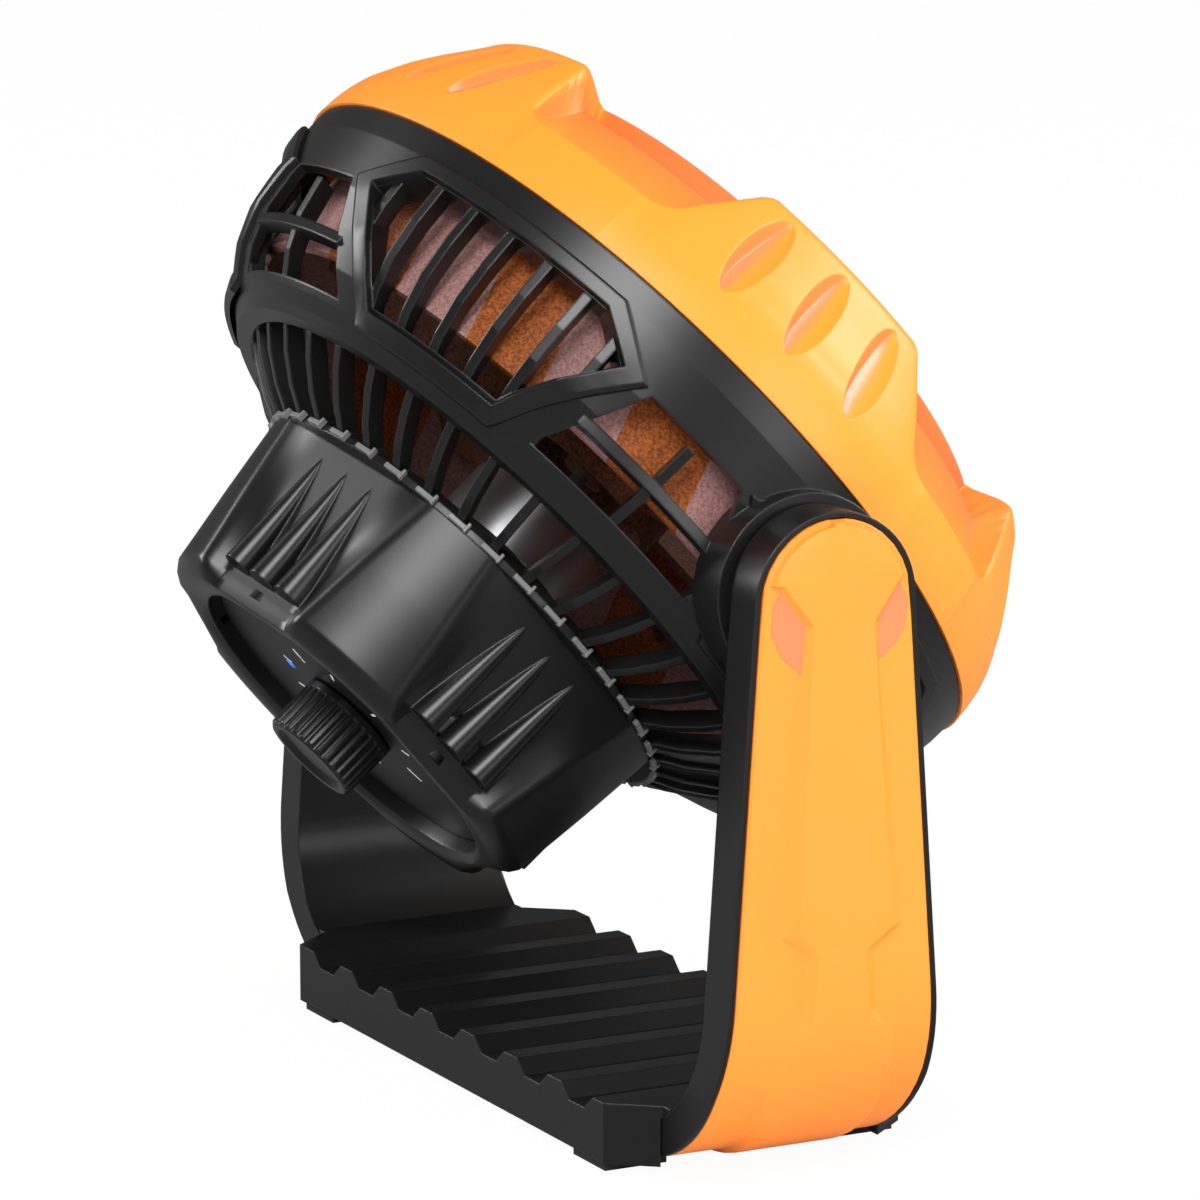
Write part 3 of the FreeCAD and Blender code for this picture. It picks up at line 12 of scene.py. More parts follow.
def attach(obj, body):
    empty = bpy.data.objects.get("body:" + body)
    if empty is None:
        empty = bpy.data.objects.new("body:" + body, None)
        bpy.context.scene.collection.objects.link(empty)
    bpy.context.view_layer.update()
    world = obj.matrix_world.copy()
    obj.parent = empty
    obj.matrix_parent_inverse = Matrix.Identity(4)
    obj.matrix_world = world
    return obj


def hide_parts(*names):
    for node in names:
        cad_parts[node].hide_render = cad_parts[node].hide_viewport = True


bl_info = {
    "name": "Portable camping fan",
    "version": (1, 0, 0),
    "blender": (4, 5, 0),
    "location": "View3D > Sidebar > Camping fan",
    "description": "Grip ring, cage trim, pod flutes, arm covers and finishes of a tilting camping fan",
    "category": "Object",
}

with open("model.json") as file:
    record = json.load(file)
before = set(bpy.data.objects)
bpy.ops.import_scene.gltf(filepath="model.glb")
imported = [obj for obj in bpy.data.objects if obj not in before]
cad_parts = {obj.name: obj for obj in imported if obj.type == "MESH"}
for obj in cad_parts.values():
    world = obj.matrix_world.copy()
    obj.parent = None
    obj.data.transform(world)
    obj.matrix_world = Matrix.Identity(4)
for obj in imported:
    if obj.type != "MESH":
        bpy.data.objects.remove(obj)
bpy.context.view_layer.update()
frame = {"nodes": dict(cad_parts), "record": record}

MM = 0.001
# The head leans back: its axis passes above the pivot, which sits above the floor (height in millimetres).
HEAD_LEAN = math.radians(40.5)
HEAD_UP = Vector((0.0, math.sin(HEAD_LEAN), math.cos(HEAD_LEAN)))
HEAD_OUT = Vector((0.0, -math.cos(HEAD_LEAN), math.sin(HEAD_LEAN)))
PIVOT_HEIGHT = 119.5
HEAD_MIDDLE = Vector((0.0, 0.0, PIVOT_HEIGHT * MM)) + HEAD_UP * 7.7 * MM
HEAD_PLACE = Matrix.Translation(HEAD_MIDDLE) @ Matrix(
    ((1.0, HEAD_UP.x, HEAD_OUT.x), (0.0, HEAD_UP.y, HEAD_OUT.y), (0.0, HEAD_UP.z, HEAD_OUT.z))).to_4x4()
# The ring, the cage and the pod repeat in sectors, measured in degrees.
SECTORS = 5
SECTOR = 360.0 / SECTORS
HALF_SECTOR = SECTOR / 2.0
# Bowl of the cage: (distance in from the seam's radius, depth behind the seam), in millimetres.
BOWL = ((0.0, 0.0), (0.3, 5.7), (2.0, 17.6), (4.2, 25.6), (8.0, 32.6), (13.0, 38.2))
SEAM_RADIUS, SEAM_FRONT = 92.0, 20.4


# Sizes and colours.
def size_property(name, description, default):
    """A size in metres."""
    return FloatProperty(name=name, description=description, default=default, unit="LENGTH")


def colour_property(name, description, default):
    """A colour as its linear red, green and blue."""
    return FloatVectorProperty(name=name, description=description, subtype="COLOR", default=default,
                               size=3, min=0.0, max=1.0)


class FanSizes(bpy.types.PropertyGroup):
    """Sizes of the added pieces."""
    scoop_length: size_property("Scoop length", "Finger scoop along the axis", 27.0 * MM)
    scoop_width: size_property("Scoop width", "Finger scoop round the ring", 8.4 * MM)
    scoop_depth: size_property("Scoop depth", "Depth of a finger scoop", 2.3 * MM)
    frame_height: size_property("Window frame height", "Height of the raised window frames", 1.5 * MM)
    relief_height: size_property("Relief height", "Height of the arm cover's raised middle", 1.3 * MM)
    floor_half: size_property("Floor half side", "Half side of the floor", 6.0)


class FanColours(bpy.types.PropertyGroup):
    """Colours of the finishes."""
    orange: colour_property("Orange", "Grip ring and arm covers", (1.0, 0.285, 0.02))
    # Painted shade: a darker orange for the ring's recesses and the steep faces of its scoops.
    painted_shade_orange: colour_property("Deep orange", "Recesses and steep sides of the scoops", (0.95, 0.17, 0.03))
    black: colour_property("Black", "Cage, pod and stand", (0.007, 0.007, 0.007))
    # Painted light: a pinkish tint for the lit floors of the finger scoops, and the painted shading of the
    # crescents on the arm covers.
    painted_light_coral: colour_property("Coral", "Floors of the finger scoops", (1.0, 0.21, 0.075))
    # Painted shade: the orange shroud as it looks in shadow behind the cage.
    shroud_painted_shade: colour_property("Burnt orange", "Shroud seen through the cage", (0.42, 0.1, 0.01))
    # Painted light: the patches of light that fall on the shroud through the cage.
    shroud_painted_light: colour_property("Dusky patches", "Patches on the shroud", (0.4, 0.2, 0.18))
    floor: colour_property("Floor", "Floor of the stage", (0.9, 0.9, 0.9))


# Finishes.
class Wire:
    """A value in a material's nodes: sums and products of wires add the Math nodes that they need."""

    def __init__(self, finish, socket):
        self.finish, self.socket = finish, socket

    def __add__(self, other):
        return self.finish.math("ADD", self, other)

    def __sub__(self, other):
        return self.finish.math("SUBTRACT", self, other)

    def __mul__(self, other):
        return self.finish.math("MULTIPLY", self, other)

    def __radd__(self, other):
        return self.finish.math("ADD", other, self)

    def __rsub__(self, other):
        return self.finish.math("SUBTRACT", other, self)

    def clamped(self):
        """The value kept from 0 to 1."""
        return self.finish.math("MINIMUM", self.finish.math("MAXIMUM", self, 0.0), 1.0)


class Finish:
    """One material and its node tree."""

    def __init__(self, name):
        self.material = bpy.data.materials.new(name)
        self.material.use_nodes = True
        self.tree = self.material.node_tree
        self.tree.nodes.clear()
        self.out = self.tree.nodes.new("ShaderNodeOutputMaterial")

    def node(self, kind, settings=None, inputs=None):
        """Any node: its settings first, then the values or links of its sockets."""
        made = self.tree.nodes.new(kind)
        for key, value in (settings or {}).items():
            setattr(made, key, value)
        for key, value in (inputs or {}).items():
            socket = made.inputs[key]
            if isinstance(value, Wire):
                self.tree.links.new(value.socket, socket)
            elif isinstance(value, bpy.types.NodeSocket):
                self.tree.links.new(value, socket)
            elif hasattr(value, "__len__") and len(value) == 3 and socket.type == "RGBA":
                socket.default_value = (*value, 1.0)
            else:
                socket.default_value = value
        return made

    def wire(self, socket):
        return Wire(self, socket)

    def math(self, operation, *values):
        """A Math node over numbers and wires."""
        made = self.node("ShaderNodeMath", {"operation": operation}, dict(enumerate(values)))
        return self.wire(made.outputs[0])

    def tone(self, name):
        """A tone that the mesh carries, as a wire."""
        return self.wire(self.node("ShaderNodeAttribute", {"attribute_name": name}).outputs["Fac"])

    def noise(self, scale, detail=2.0, roughness=0.5, stretch=(1.0, 1.0, 1.0)):
        """Noise over the object, as a wire from 0 to 1."""
        where = self.node("ShaderNodeTexCoord")
        turned = self.node("ShaderNodeMapping", None, {"Vector": where.outputs["Object"], "Scale": stretch})
        made = self.node("ShaderNodeTexNoise", None, {"Vector": turned.outputs[0], "Scale": scale,
                                                      "Detail": detail, "Roughness": roughness})
        return self.wire(made.outputs["Fac"])

    def blend(self, factor, first, second):
        made = self.node("ShaderNodeMix", {"data_type": "RGBA"}, {0: factor, 6: first, 7: second})
        return made.outputs[2]

    def soft_edges(self, radius):
        """Normal with every edge rounded off, and how much of an edge is here."""
        rounded = self.node("ShaderNodeBevel", {"samples": 6}, {"Radius": radius}).outputs[0]
        flat = self.node("ShaderNodeNewGeometry").outputs["Normal"]
        facing = self.node("ShaderNodeVectorMath", {"operation": "DOT_PRODUCT"}, {0: rounded, 1: flat})
        return rounded, (1.0 - self.wire(facing.outputs["Value"])).clamped()

    def bump(self, height, strength, distance, normal=None):
        inputs = {"Height": height, "Strength": strength, "Distance": distance}
        if normal is not None:
            inputs["Normal"] = normal
        return self.node("ShaderNodeBump", None, inputs).outputs[0]

    def surface(self, **inputs):
        shader = self.node("ShaderNodeBsdfPrincipled", None,
                           {key.replace("_", " "): value for key, value in inputs.items()})
        self.tree.links.new(shader.outputs[0], self.out.inputs["Surface"])
        return self.material


def darker(colour, share):
    return tuple(part * share for part in colour)


def moulded(name, colour, rough, edge=0.5 * MM, grain=0.25, edge_wear_and_highlight=0.5, light=None):
    """Moulded plastic: fine grain, faint flow shade, edges a touch paler and smoother; the paler edges are
    partly worn and partly a painted highlight.
    """
    finish = Finish(name)
    normal, corner = finish.soft_edges(edge)
    flow = finish.noise(14.0, 3.0)
    speck = finish.noise(2600.0, 1.0)
    pale = light or tuple(min(1.0, part * 1.5 + 0.012) for part in colour)
    tone = finish.blend(flow, darker(colour, 0.86), colour)
    # Paler edges: partly worn, partly a painted highlight.
    base = finish.blend((corner * (edge_wear_and_highlight * 2.0)).clamped(), tone, pale)
    grained = finish.bump(speck, grain, 0.03 * MM, normal)
    rough = (rough - 0.04) + flow * 0.08 + speck * 0.03 - corner * 0.05
    return finish.surface(Base_Color=base, Roughness=rough, Normal=grained, Specular_IOR_Level=0.5)


def orange_plastic(name, colours):
    """The grip ring's satin orange: a pinkish painted light on the scoop floors and painted shade in the
    recesses and on steep faces, where the mesh says, and paler edges, partly worn and partly a painted
    highlight.
    """
    finish = Finish(name)
    normal, corner = finish.soft_edges(0.5 * MM)
    flow = finish.noise(10.0, 2.0)
    speck = finish.noise(2200.0, 1.0)
    # Tones from the mesh: pinkish painted light on the scoop floors, painted shade in the recesses and on
    # steep faces.
    painted_light_coral = finish.tone("painted_light_coral")
    plain = finish.blend(flow, darker(colours.orange, 0.95), tuple(colours.orange))
    deeper = finish.blend(finish.tone("deep").clamped(), plain, tuple(colours.painted_shade_orange))
    toned = finish.blend(painted_light_coral.clamped(), deeper, tuple(colours.painted_light_coral))
    # Paler edges: partly worn, partly a painted highlight.
    base = finish.blend((corner * 0.6).clamped(), toned, (1.0, 0.42, 0.12))
    return finish.surface(Base_Color=base, Roughness=0.36 + flow * 0.06 - painted_light_coral * 0.1,
                          Normal=finish.bump(speck, 0.12, 0.03 * MM, normal), Specular_IOR_Level=0.45)


def speckled(finish, dark, colour, depth):
    """Frosted plastic, speckled between two colours."""
    speck = finish.noise(1500.0, 2.0, 0.7)
    tone = finish.blend(((speck - 0.38) * 4.0).clamped(), dark, colour)
    return finish.surface(Base_Color=tone, Roughness=0.6 + speck * 0.15,
                          Normal=finish.bump(speck, depth, 0.05 * MM), Specular_IOR_Level=0.3)


def shroud_plastic(name, colours):
    """Speckled shroud as it shows between the slats: dark orange that paints it in shade, with stepped paler
    patches that paint the light falling through the cage between the slats' shadows.
    """
    finish = Finish(name)
    where = finish.node("ShaderNodeTexCoord").outputs["Object"]
    parts = finish.node("ShaderNodeSeparateXYZ", None, {"Vector": where})
    across, out, up = (finish.wire(parts.outputs[i]) for i in range(3))
    # Stepped patches of painted light, with painted slat shadows between them.
    stepped = finish.math("SNAP", across + out * 1.3 + up * 0.7, 8.0 * MM)
    painted_light_patches = ((finish.math("SINE", stepped * 95.0) + 0.15) * 8.0).clamped()
    shroud_painted_shade, shroud_painted_light = tuple(colours.shroud_painted_shade), tuple(colours.shroud_painted_light)
    dark = finish.blend(painted_light_patches, darker(shroud_painted_shade, 0.35), darker(shroud_painted_light, 0.55))
    return speckled(finish, dark, finish.blend(painted_light_patches, shroud_painted_shade, shroud_painted_light), 0.4)


def metal(name, colour, rough, metallic=1.0):
    finish = Finish(name)
    grain = finish.noise(900.0, 2.0, 0.6, (1.0, 1.0, 12.0))
    normal, corner = finish.soft_edges(0.2 * MM)
    base = finish.blend(grain, darker(colour, 0.85), colour)
    return finish.surface(Base_Color=base, Metallic=metallic, Roughness=rough + grain * 0.1 - corner * 0.05,
                          Normal=finish.bump(grain, 0.15, 0.02 * MM, normal))


def rubber(name, colour):
    finish = Finish(name)
    grain = finish.noise(1800.0, 3.0)
    normal, corner = finish.soft_edges(0.5 * MM)
    base = finish.blend(grain, darker(colour, 0.7), colour)
    return finish.surface(Base_Color=base, Roughness=0.75 + grain * 0.15,
                          Normal=finish.bump(grain, 0.4, 0.05 * MM, normal))


def frosted(name, colour):
    finish = Finish(name)
    speck = finish.noise(700.0, 2.0)
    base = finish.blend(speck, darker(colour, 0.94), colour)
    return finish.surface(Base_Color=base, Roughness=0.35 + speck * 0.12,
                          Normal=finish.bump(speck, 0.2, 0.03 * MM), Coat_Weight=0.3)


def lamp_lens(name, colour):
    finish = Finish(name)
    speck = finish.noise(500.0, 1.0)
    base = finish.blend(speck, darker(colour, 0.8), colour)
    return finish.surface(Base_Color=base, Roughness=0.15 + speck * 0.05, Emission_Color=colour,
                          Emission_Strength=1.2)


def board_green(name):
    """Circuit board's lacquer, paler over its long tracks."""
    finish = Finish(name)
    cells = finish.noise(260.0, 0.0, 0.5, (1.0, 6.0, 1.0))
    tone = finish.blend((cells * 6.0 - 2.6).clamped(), (0.01, 0.06, 0.025), (0.03, 0.16, 0.06))
    return finish.surface(Base_Color=tone, Roughness=0.4 + cells * 0.1,
                          Normal=finish.bump(cells, 0.2, 0.05 * MM))


def make_finishes(colours):
    """Every finish of the fan by the record's slot name or the piece's own."""
    black = tuple(colours.black)
    return {
        # The last colour given to a moulded finish is its paler edge colour: partly worn, partly a painted
        # highlight.
        "black": moulded("black_plastic", black, 0.3, 0.6 * MM, 0.12, 0.6, (0.05, 0.05, 0.05)),
        "panel": moulded("panel_black", black, 0.45, 0.3 * MM, 0.3, 0.4, (0.03, 0.03, 0.03)),
        "tab_grey": moulded("tab_grey", (0.16, 0.16, 0.16), 0.4, 0.15 * MM, 0.1, 0.4, (0.4, 0.4, 0.4)),
        "ring": orange_plastic("ring_orange", colours),
        "shroud": shroud_plastic("shroud_speckle_painted_light", colours),
        "orange": moulded("cover_orange", tuple(colours.orange), 0.38, 0.5 * MM, 0.15, 0.3, (1.0, 0.42, 0.1)),
        "cover": moulded("relief_orange", tuple(colours.orange), 0.4, 0.4 * MM, 0.12, 0.5, (1.0, 0.36, 0.08)),
        # Crescents: a pinkish tint that paints the shading of the sunk wedges on the arm covers.
        "crescent": moulded("crescent_painted_light", tuple(colours.painted_light_coral), 0.4, 0.3 * MM, 0.1, 0.2, (1.0, 0.3, 0.1)),
        "smoke_orange": speckled(Finish("blade_speckle"), (0.05, 0.02, 0.01), (0.2, 0.06, 0.02), 0.5),
        "frosted": frosted("lens_white", (0.82, 0.82, 0.8)),
        "board": board_green("board_green"),
        "chip": frosted("chip_yellow", (0.85, 0.72, 0.2)),
        "steel": metal("plated_steel", (0.6, 0.6, 0.62), 0.25),
        # Near-black steel for the panel screws: painted shade of the wells they sit in.
        "painted_shade_steel": metal("painted_shade_steel", (0.03, 0.03, 0.03), 0.45),
        "magnet": metal("magnet_grey", (0.1, 0.1, 0.11), 0.5, 0.6),
        "copper": metal("copper_windings", (0.7, 0.3, 0.15), 0.35),
        "bush": metal("bush_bronze", (0.6, 0.42, 0.2), 0.45),
        "cell": moulded("cell_sleeve", (0.05, 0.18, 0.42), 0.3, 0.4 * MM, 0.1, 0.3),
        "rubber": rubber("pad_rubber", (0.02, 0.02, 0.02)),
        "blue": lamp_lens("lamp_blue", (0.02, 0.25, 1.0)),
        "mark": moulded("mark_white", (0.75, 0.75, 0.75), 0.5, 0.1 * MM, 0.1, 0.0),
    }


FINISHES = {}


def finish_for(name):
    """The finish of a name; the first call makes them all."""
    if not FINISHES:
        FINISHES.update(make_finishes(bpy.context.scene.fan_colours))
    return FINISHES[name]


# Modelling by hand.
def hold(*pieces):
    """Leave editing and select just these pieces, the first one active."""
    if bpy.context.object and bpy.context.object.mode != "OBJECT":
        bpy.ops.object.mode_set(mode="OBJECT")
    bpy.ops.object.select_all(action="DESELECT")
    for piece in pieces:
        piece.select_set(True)
    if pieces:
        bpy.context.view_layer.objects.active = pieces[0]


def begin(name, primitive, **settings):
    """Add a primitive, name it and open it for editing with everything selected."""
    hold()
    getattr(bpy.ops.mesh, "primitive_" + primitive + "_add")(**settings)
    piece = bpy.context.object
    piece.name = piece.data.name = name
    bpy.ops.object.mode_set(mode="EDIT")
    return piece


def pick(test, kind):
    """Select the edges or faces of the open piece that pass the test."""
    bpy.ops.mesh.select_mode(type=kind)
    bpy.ops.mesh.select_all(action="DESELECT")
    mesh = bmesh.from_edit_mesh(bpy.context.object.data)
    for part in mesh.edges if kind == "EDGE" else mesh.faces:
        if test(part):
            part.select_set(True)
    mesh.select_flush_mode()
    bmesh.update_edit_mesh(bpy.context.object.data)


def bridge_ends():
    """Join the two open ends of the piece that is being edited."""
    pick(lambda edge: edge.is_boundary, "EDGE")
    bpy.ops.mesh.bridge_edge_loops()


def draw_line(points):
    """Turn the open, newly added plane into a line through the points, drawn vertex by vertex."""
    bpy.ops.mesh.merge(type="CENTER")
    mesh = bmesh.from_edit_mesh(bpy.context.object.data)
    start = next(iter(mesh.verts))
    bpy.ops.transform.translate(value=Vector(points[0]) - start.co)
    for before, after in zip(points, points[1:]):
        bpy.ops.mesh.extrude_region_move(
            TRANSFORM_OT_translate={"value": Vector(after) - Vector(before)})


def bevelled_box(name, size, bevel, place):
    """A box with bevelled edges, its size, bevel and place in millimetres."""
    box = begin(name, "cube", size=1.0 * MM)
    bpy.ops.transform.resize(value=size)
    bpy.ops.mesh.bevel(offset=bevel * MM, segments=1, affect="EDGES")
    bpy.ops.transform.translate(value=Vector(place) * MM)
    bpy.ops.object.mode_set(mode="OBJECT")
    return box


def cut_with(piece, tools):
    """Take the tools out of a piece, once it is settled."""
    cut = piece.modifiers.new(tools.name, "BOOLEAN")
    cut.operation, cut.object, cut.solver = "DIFFERENCE", tools, "EXACT"


def settle(piece, body, place, finishes, smooth=30.0):
    """Close the piece: apply its place, clean and smooth it, give it its finishes and its body."""
    hold(piece)
    if place is not None:
        piece.matrix_world = place @ piece.matrix_world
    bpy.ops.object.transform_apply(location=True, rotation=True, scale=True)
    for modifier in list(piece.modifiers):
        bpy.ops.object.modifier_apply(modifier=modifier.name)
    bpy.ops.object.mode_set(mode="EDIT")
    bpy.ops.mesh.select_all(action="SELECT")
    bpy.ops.mesh.remove_doubles(threshold=0.002 * MM)
    bpy.ops.mesh.normals_make_consistent(inside=False)
    bpy.ops.object.mode_set(mode="OBJECT")
    bpy.ops.object.shade_smooth_by_angle(angle=math.radians(smooth))
    piece.data.materials.clear()
    for name in finishes:
        piece.data.materials.append(finish_for(name))
    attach(piece, body)
    hold()


def joined(pieces, name):
    """The pieces as one object."""
    hold(*pieces)
    bpy.ops.object.join()
    pieces[0].name = pieces[0].data.name = name
    return pieces[0]


def turn_round(piece, angle):
    """Turn the piece clockwise about the local Z axis, by degrees."""
    piece.matrix_world = Matrix.Rotation(-math.radians(angle), 4, "Z") @ piece.matrix_world


def copies_round(piece, name, angles):
    """Copies of a piece turned round the local Z axis, joined into one object with the first."""
    hold()
    made = [piece]
    for angle in angles[1:]:
        twin = piece.copy()
        twin.data = piece.data.copy()
        bpy.context.scene.collection.objects.link(twin)
        turn_round(twin, angle - angles[0])
        made.append(twin)
    return joined(made, name)


def each_sector(start):
    """Degrees of one place in every sector."""
    return [start + SECTOR * i for i in range(SECTORS)]


def step(value, low, high):
    """Smooth step from 0 at low to 1 at high."""
    share = max(0.0, min(1.0, (value - low) / (high - low)))
    return share * share * (3.0 - 2.0 * share)


def bowl_radius(level):
    """Radius of the cage's wall, in millimetres, at a height from the pivot along the axis."""
    depth = SEAM_FRONT - level
    for (drop0, deep0), (drop1, deep1) in zip(BOWL, BOWL[1:]):
        if depth <= deep1:
            return SEAM_RADIUS - drop0 - (drop1 - drop0) * max(0.0, depth - deep0) / (deep1 - deep0)
    return SEAM_RADIUS - BOWL[-1][0]


# The grip ring, in millimetres: (radius, distance ahead of the pivot).
LOBE_LINE = ((92.6, 20.6), (92.4, 24.0), (92.0, 27.0), (91.3, 30.0), (90.2, 33.0), (89.4, 34.6), (87.3, 39.0),
             (83.7, 45.0), (80.3, 50.0), (78.3, 53.0), (77.3, 54.6), (76.1, 55.6), (74.4, 56.0))
LOBE_FRONT = ((74.4, 56.0), (72.0, 55.7), (64.5, 53.7))
SLOT_LINE = ((74.8, 46.5), (74.6, 44.5), (74.2, 42.2), (73.2, 41.2), (71.6, 41.0), (70.0, 41.0), (68.2, 41.0),
             (66.9, 41.3), (66.2, 42.4), (65.9, 45.0), (65.6, 49.0), (65.4, 52.4), (65.1, 53.4), (64.5, 53.7))
# Half width of the slot's foot at each of its points, in degrees.
SLOT_ENDS = (21.0, 21.0, 21.6, 22.8, 22.2, 21.8, 21.8, 22.0, 21.6, 20.0, 18.0, 16.2, 15.7, 15.5)
# From the front's inner edge over the lens seat and down the shroud, back to the seam.
INNER_LINE = ((63.4, 53.6), (62.2, 53.0), (62.2, 45.9), (55.8, 45.9), (55.8, 52.4), (53.4, 52.4),
              (53.4, 43.5), (64.6, 43.5), (64.6, 38.6), (78.1, 38.6), (78.1, 30.0), (78.1, 15.0), (78.1, 3.0),
              (78.1, -8.5), (80.5, -8.5), (80.5, 3.0), (80.5, 15.0), (80.5, 30.0), (80.5, 38.6), (87.2, 32.8),
              (89.6, 27.0), (90.2, 20.6))
# At the seam, degrees from a lobe's middle to its edge and to the foot of the wall beside it.
LOBE_HALF, RECESS_HALF = 27.2, 27.6
# Places along the lobe's line, where the recesses start and the scoops' middles lie; degrees between scoops.
CREASE_AT, SCOOP_MIDDLE, SCOOP_TURN = 14.4, 22.9, 11.1
# Millimetres between the rows of the line, before it is spun and shaped.
ROW_STEP = 0.1
# Faces of the ring inside this radius and behind this place are the shroud's, in millimetres.
SHROUD_RADIUS, SHROUD_FRONT = 81.0, 38.0
# Steps across a lobe and its two half recesses: how many columns each stretch has.
RING_COLUMNS = (("floor", 9), ("wall", 3), ("bevel", 2), ("plain", 4), ("scoop", 10), ("plain", 4),
                ("scoop", 10), ("plain", 4), ("scoop", 10), ("plain", 4), ("bevel", 2), ("wall", 3),
                ("floor", 9))


def along(line, share):
    """Point on a smooth curve through the corners, at a share of its length."""
    lengths = [math.dist(a, b) for a, b in zip(line, line[1:])]
    left = share * sum(lengths)
    for i, length in enumerate(lengths):
        if left <= length or i == len(lengths) - 1:
            t = min(1.0, left / length)
            before, after = line[max(0, i - 1)], line[min(len(line) - 1, i + 2)]
            made = []
            for p0, p1, p2, p3 in zip(before, line[i], line[i + 1], after):
                made.append(0.5 * (2.0 * p1 + (p2 - p0) * t + (2.0 * p0 - 5.0 * p1 + 4.0 * p2 - p3) * t * t
                                   + (3.0 * p1 - p0 - 3.0 * p2 + p3) * t * t * t))
            return made
        left -= length


def between(table, at):
    """Straight-line reading of a table of (place, value, ...) rows."""
    if at <= table[0][0]:
        return table[0][1:]
    for low, high in zip(table, table[1:]):
        if at <= high[0]:
            share = (at - low[0]) / (high[0] - low[0])
            return [a + (b - a) * share for a, b in zip(low[1:], high[1:])]
    return table[-1][1:]


def on_axis(r, angle, k):
    """Point of the head from its radius, its degrees round from the top and its place along the axis."""
    turn = math.radians(angle)
    return r * math.sin(turn), r * math.cos(turn), k


def stretch_at(column, stretches, counted):
    """Where a column lies: its stretch's number and kind, its share of it, and the counted ones before it."""
    before = 0
    for index, (kind, count) in enumerate(stretches):
        if column < count or index + 1 == len(stretches):
            return index, kind, column / count, before
        column -= count
        before += kind == counted


def plain_limits(number, apart, wide, end):
    """Ends of a plain stretch beside three forms that stand apart, each of a half width."""
    after = (number - 1) * apart
    return -end if number == 0 else after - apart + wide, end if number == 3 else after - wide


def ring_rows(sizes):
    """Rows of the ring's outside: lobe point, recess point, the lobe's edge, the recess's edge, place."""
    total = sum(math.dist(a, b) for a, b in zip(LOBE_LINE, LOBE_LINE[1:]))
    reach = sizes.scoop_length / MM / 2.0
    start, end = SCOOP_MIDDLE - reach, SCOOP_MIDDLE + reach
    places = [i * CREASE_AT / 12 for i in range(12)]
    places += [CREASE_AT + (total - CREASE_AT) * i / 34 for i in range(35)]
    places += [start + inward for inward in (-0.15, 0.25, 0.75, 1.5)]
    places += [end - inward for inward in (-0.15, 0.25, 0.75, 1.5)]
    places += [CREASE_AT + 0.5, CREASE_AT + 1.2, CREASE_AT + 2.2]
    start_r, start_k = along(LOBE_LINE, CREASE_AT / total)
    slot_r, slot_k = SLOT_LINE[0]
    rows = []
    for place in sorted(places):
        lobe = along(LOBE_LINE, place / total)
        if place <= CREASE_AT:
            rows.append((lobe, lobe, LOBE_HALF, RECESS_HALF, place))
            continue
        gone = (place - CREASE_AT) / (total - CREASE_AT)
        sag = 4.0 * gone * (1.0 - gone) * 1.1
        floor = (start_r + (slot_r - start_r) * gone - sag * 0.6,
                 start_k + (slot_k - start_k) * gone - sag * 0.8)
        corner = min(1.0, (place - CREASE_AT) / 5.0)
        foot = LOBE_HALF - 3.2 * math.sqrt(1.0 - (1.0 - corner) ** 2) - 3.0 * gone
        edge = foot - 0.25 - 5.3 * gone ** 1.2
        rows.append((lobe, floor, edge, foot, place))
    for i in range(1, len(SLOT_LINE)):
        share = i / (len(SLOT_LINE) - 1)
        lobe = along(LOBE_FRONT, share)
        rows.append((lobe, SLOT_LINE[i], 15.6 - 0.4 * share, SLOT_ENDS[i], total + share * 10.0))
    return rows


def ring_point(row, kind, share):
    """A vertex of a recess, its wall or the rounded edge: radius, ahead, degrees off, and its tones of
    painted light and painted shade.
    """
    lobe, floor, edge, foot, place = row
    if kind == "floor":
        angle = foot + (HALF_SECTOR - foot) * share
        # Painted shade: the recess's floor darker further into the recess.
        deep = 0.0 if place <= CREASE_AT else min(1.0, (place - CREASE_AT) / 30.0)
        return floor[0], floor[1], angle, 0.0, deep
    rise = math.dist(lobe, floor)
    trim = min(1.2, rise * 0.4 + 0.05)
    brow = edge - math.degrees(trim / lobe[0])
    drop = min(1.0, trim * 0.8 / rise) if rise > 0.01 else 0.0
    if kind == "wall":
        down = drop + (1.0 - drop) * share
        mixed = [a + (b - a) * down for a, b in zip(lobe, floor)]
        # Painted shade on the walls, darker where they are taller.
        return mixed[0], mixed[1], edge + (foot - edge) * down, 0.0, 0.6 * step(rise, 0.5, 5.0)
    low = [a + (b - a) * drop for a, b in zip(lobe, floor)]
    bulge = 0.25 * trim * math.sin(math.pi * share)
    r = lobe[0] + (low[0] - lobe[0]) * share + bulge * 0.7
    k = lobe[1] + (low[1] - lobe[1]) * share + bulge * 0.3
    return r, k, brow + (edge + (foot - edge) * drop - brow) * share, 0.0, 0.0


def scoop_half(place, sizes):
    """Half width of a finger scoop, in degrees, and how far along it the place is."""
    along_it = (place - SCOOP_MIDDLE) / (sizes.scoop_length / MM / 2.0)
    full = sizes.scoop_width / MM / 2.0
    half = full * math.sqrt(max(0.0, 1.0 - along_it ** 2)) if abs(along_it) < 1.0 else 0.0
    return max(0.12, half), along_it


